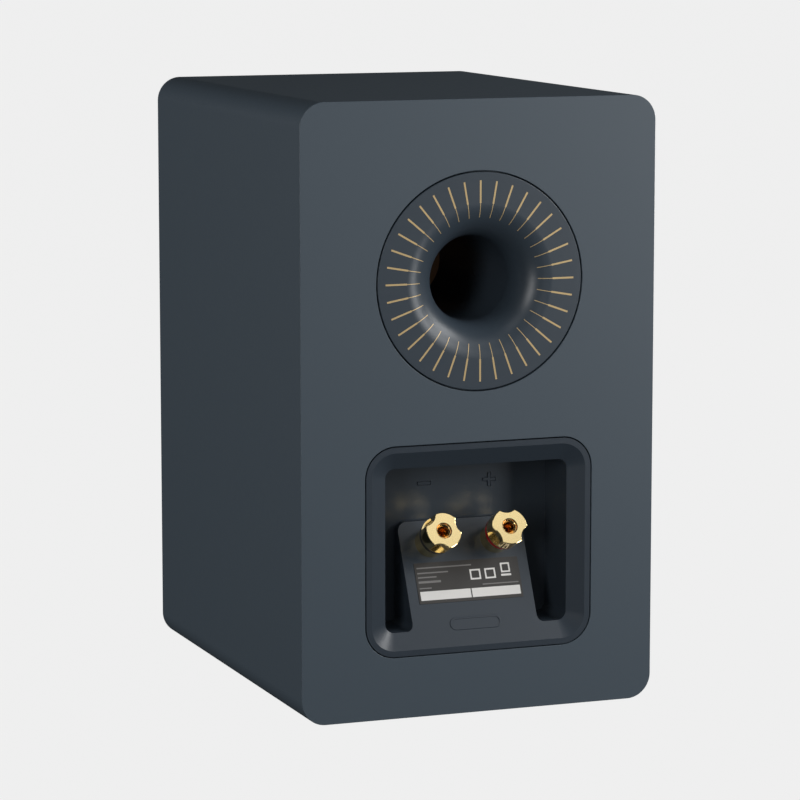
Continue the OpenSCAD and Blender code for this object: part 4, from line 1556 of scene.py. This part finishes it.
@dataclass
class Studio:
    """The pale floor, the surround, the lights and the camera.

    Attributes:
        backdrop: the pale tone behind the object, linear.
        ambient: the tone that lights the object from all round.
        floor_shade: how far the floor takes shadows.
        camera_at: the camera's place, in metres.
        yaw: how far it is turned from the rear face's normal, in degrees.
        pitch: how far it looks down, in degrees.
        lens: its focal length in millimetres.
        lights: the softboxes.
    """

    backdrop: float = 0.863
    ambient: float = 0.026
    floor_shade: float = 0.003
    camera_at: Corner = (0.52509, 1.38651, 0.33142)
    yaw: float = 20.797
    pitch: float = 8.371
    lens: float = 160.691
    lights: tuple[Softbox, ...] = (
        Softbox("right_front_box", 40.0, 5.0, 1.4, (0.36, 0.76), 7.7),
        Softbox("right_side_box", 61.0, 27.0, 1.15, (0.52, 0.48), 5.8),
        Softbox("left_front_box", -42.0, 9.0, 1.4, (0.34, 0.72), 4.9),
        Softbox("left_side_box", -108.0, 10.0, 1.25, (0.45, 0.50), 4.7),
        Softbox("baffle_box", 122.0, 7.0, 1.3, (0.50, 0.40), 10.0),
        Softbox("high_front_box", 24.0, 39.0, 1.4, (0.56, 0.40), 0.66),
        Softbox("high_left_box", -22.0, 42.0, 1.4, (0.45, 0.45), 0.7),
        Softbox("rear_box", 0.0, 2.0, 1.6, (0.40, 0.40), 0.5),
    )

    def build(self) -> None:
        """Sets up everything round the object."""
        low, high = CAD_BOX
        middle = (low + high) / 2
        self.floor(low.z)
        self.surround()
        for light in self.lights:
            light.place(middle)
        self.camera()
        bpy.context.scene.view_settings.view_transform = "Standard"

    def floor(self, height: float) -> None:
        """Lays a wide pale floor that takes a faint shadow.

        Args:
            height: its height, in metres.
        """
        half = 30.0
        ends = ((-half, -half), (half, -half), (half, half), (-half, half))
        corners = [Vector((x, y, height - 0.0002)) for x, y in ends]
        floor = new_piece("floor", corners, [(0, 1, 2, 3)])
        bench = Bench("pale_floor")
        grain = bench.noise(400.0, 2.0)
        dark, light = ((self.floor_shade * share,) * 3 for share in (0.98, 1.02))
        bench.to_shader(bench.shades(grain, dark, light), "Base Color")
        bench.set_plain({
            "Roughness": 0.9,
            "Specular IOR Level": 0.0,
            "Emission Color": (1.0, 1.0, 1.0, 1.0),
            "Emission Strength": self.backdrop - 0.002,
        })
        floor.data.materials.append(bench.material)
        floor.visible_diffuse = False
        floor.visible_glossy = False

    def surround(self) -> None:
        """Makes a surround that looks pale and lights the object only a little."""
        world = bpy.data.worlds.new("studio")
        bpy.context.scene.world = world
        world.use_nodes = True
        nodes, links = world.node_tree.nodes, world.node_tree.links
        nodes.clear()
        seen, lit = nodes.new("ShaderNodeBackground"), nodes.new("ShaderNodeBackground")
        seen.inputs["Color"].default_value = (self.backdrop,) * 3 + (1.0,)
        lit.inputs["Color"].default_value = (self.ambient,) * 3 + (1.0,)
        choose, path = nodes.new("ShaderNodeMixShader"), nodes.new("ShaderNodeLightPath")
        output = nodes.new("ShaderNodeOutputWorld")
        links.new(path.outputs["Is Camera Ray"], choose.inputs["Fac"])
        links.new(lit.outputs["Background"], choose.inputs[1])
        links.new(seen.outputs["Background"], choose.inputs[2])
        links.new(choose.outputs["Shader"], output.inputs["Surface"])

    def camera(self) -> None:
        """Puts up the camera behind the object, to its left."""
        data = bpy.data.cameras.new("camera")
        data.lens, data.sensor_width = self.lens, 36.0
        data.clip_start, data.clip_end = 0.01, 100.0
        camera = bpy.data.objects.new("camera", data)
        bpy.context.scene.collection.objects.link(camera)
        camera.location = self.camera_at
        yaw, pitch = math.radians(self.yaw), math.radians(self.pitch)
        ahead = Vector((-math.sin(yaw) * math.cos(pitch), -math.cos(yaw) * math.cos(pitch), -math.sin(pitch)))
        camera.rotation_euler = ahead.to_track_quat("-Z", "Y").to_euler()
        bpy.context.scene.camera = camera


# ------------------------------------------------------------------ all together


def main() -> None:
    """Builds the loudspeaker, then the studio."""
    logging.basicConfig(level=logging.INFO, format="%(name)s: %(message)s")
    dress_packed_parts()
    cabinet = Cabinet()
    cabinet.start()
    ReflexPort(cabinet).build()
    cup = TerminalCup(cabinet)
    cup.build()
    BindingPost(cup, Polarity.NEGATIVE, 15.0).build()
    BindingPost(cup, Polarity.POSITIVE, 90.0).build()
    Woofer(cabinet).build()
    Tweeter(cabinet).build()
    cabinet.finish()
    Studio().build()


if __name__ == "__main__":
    main()
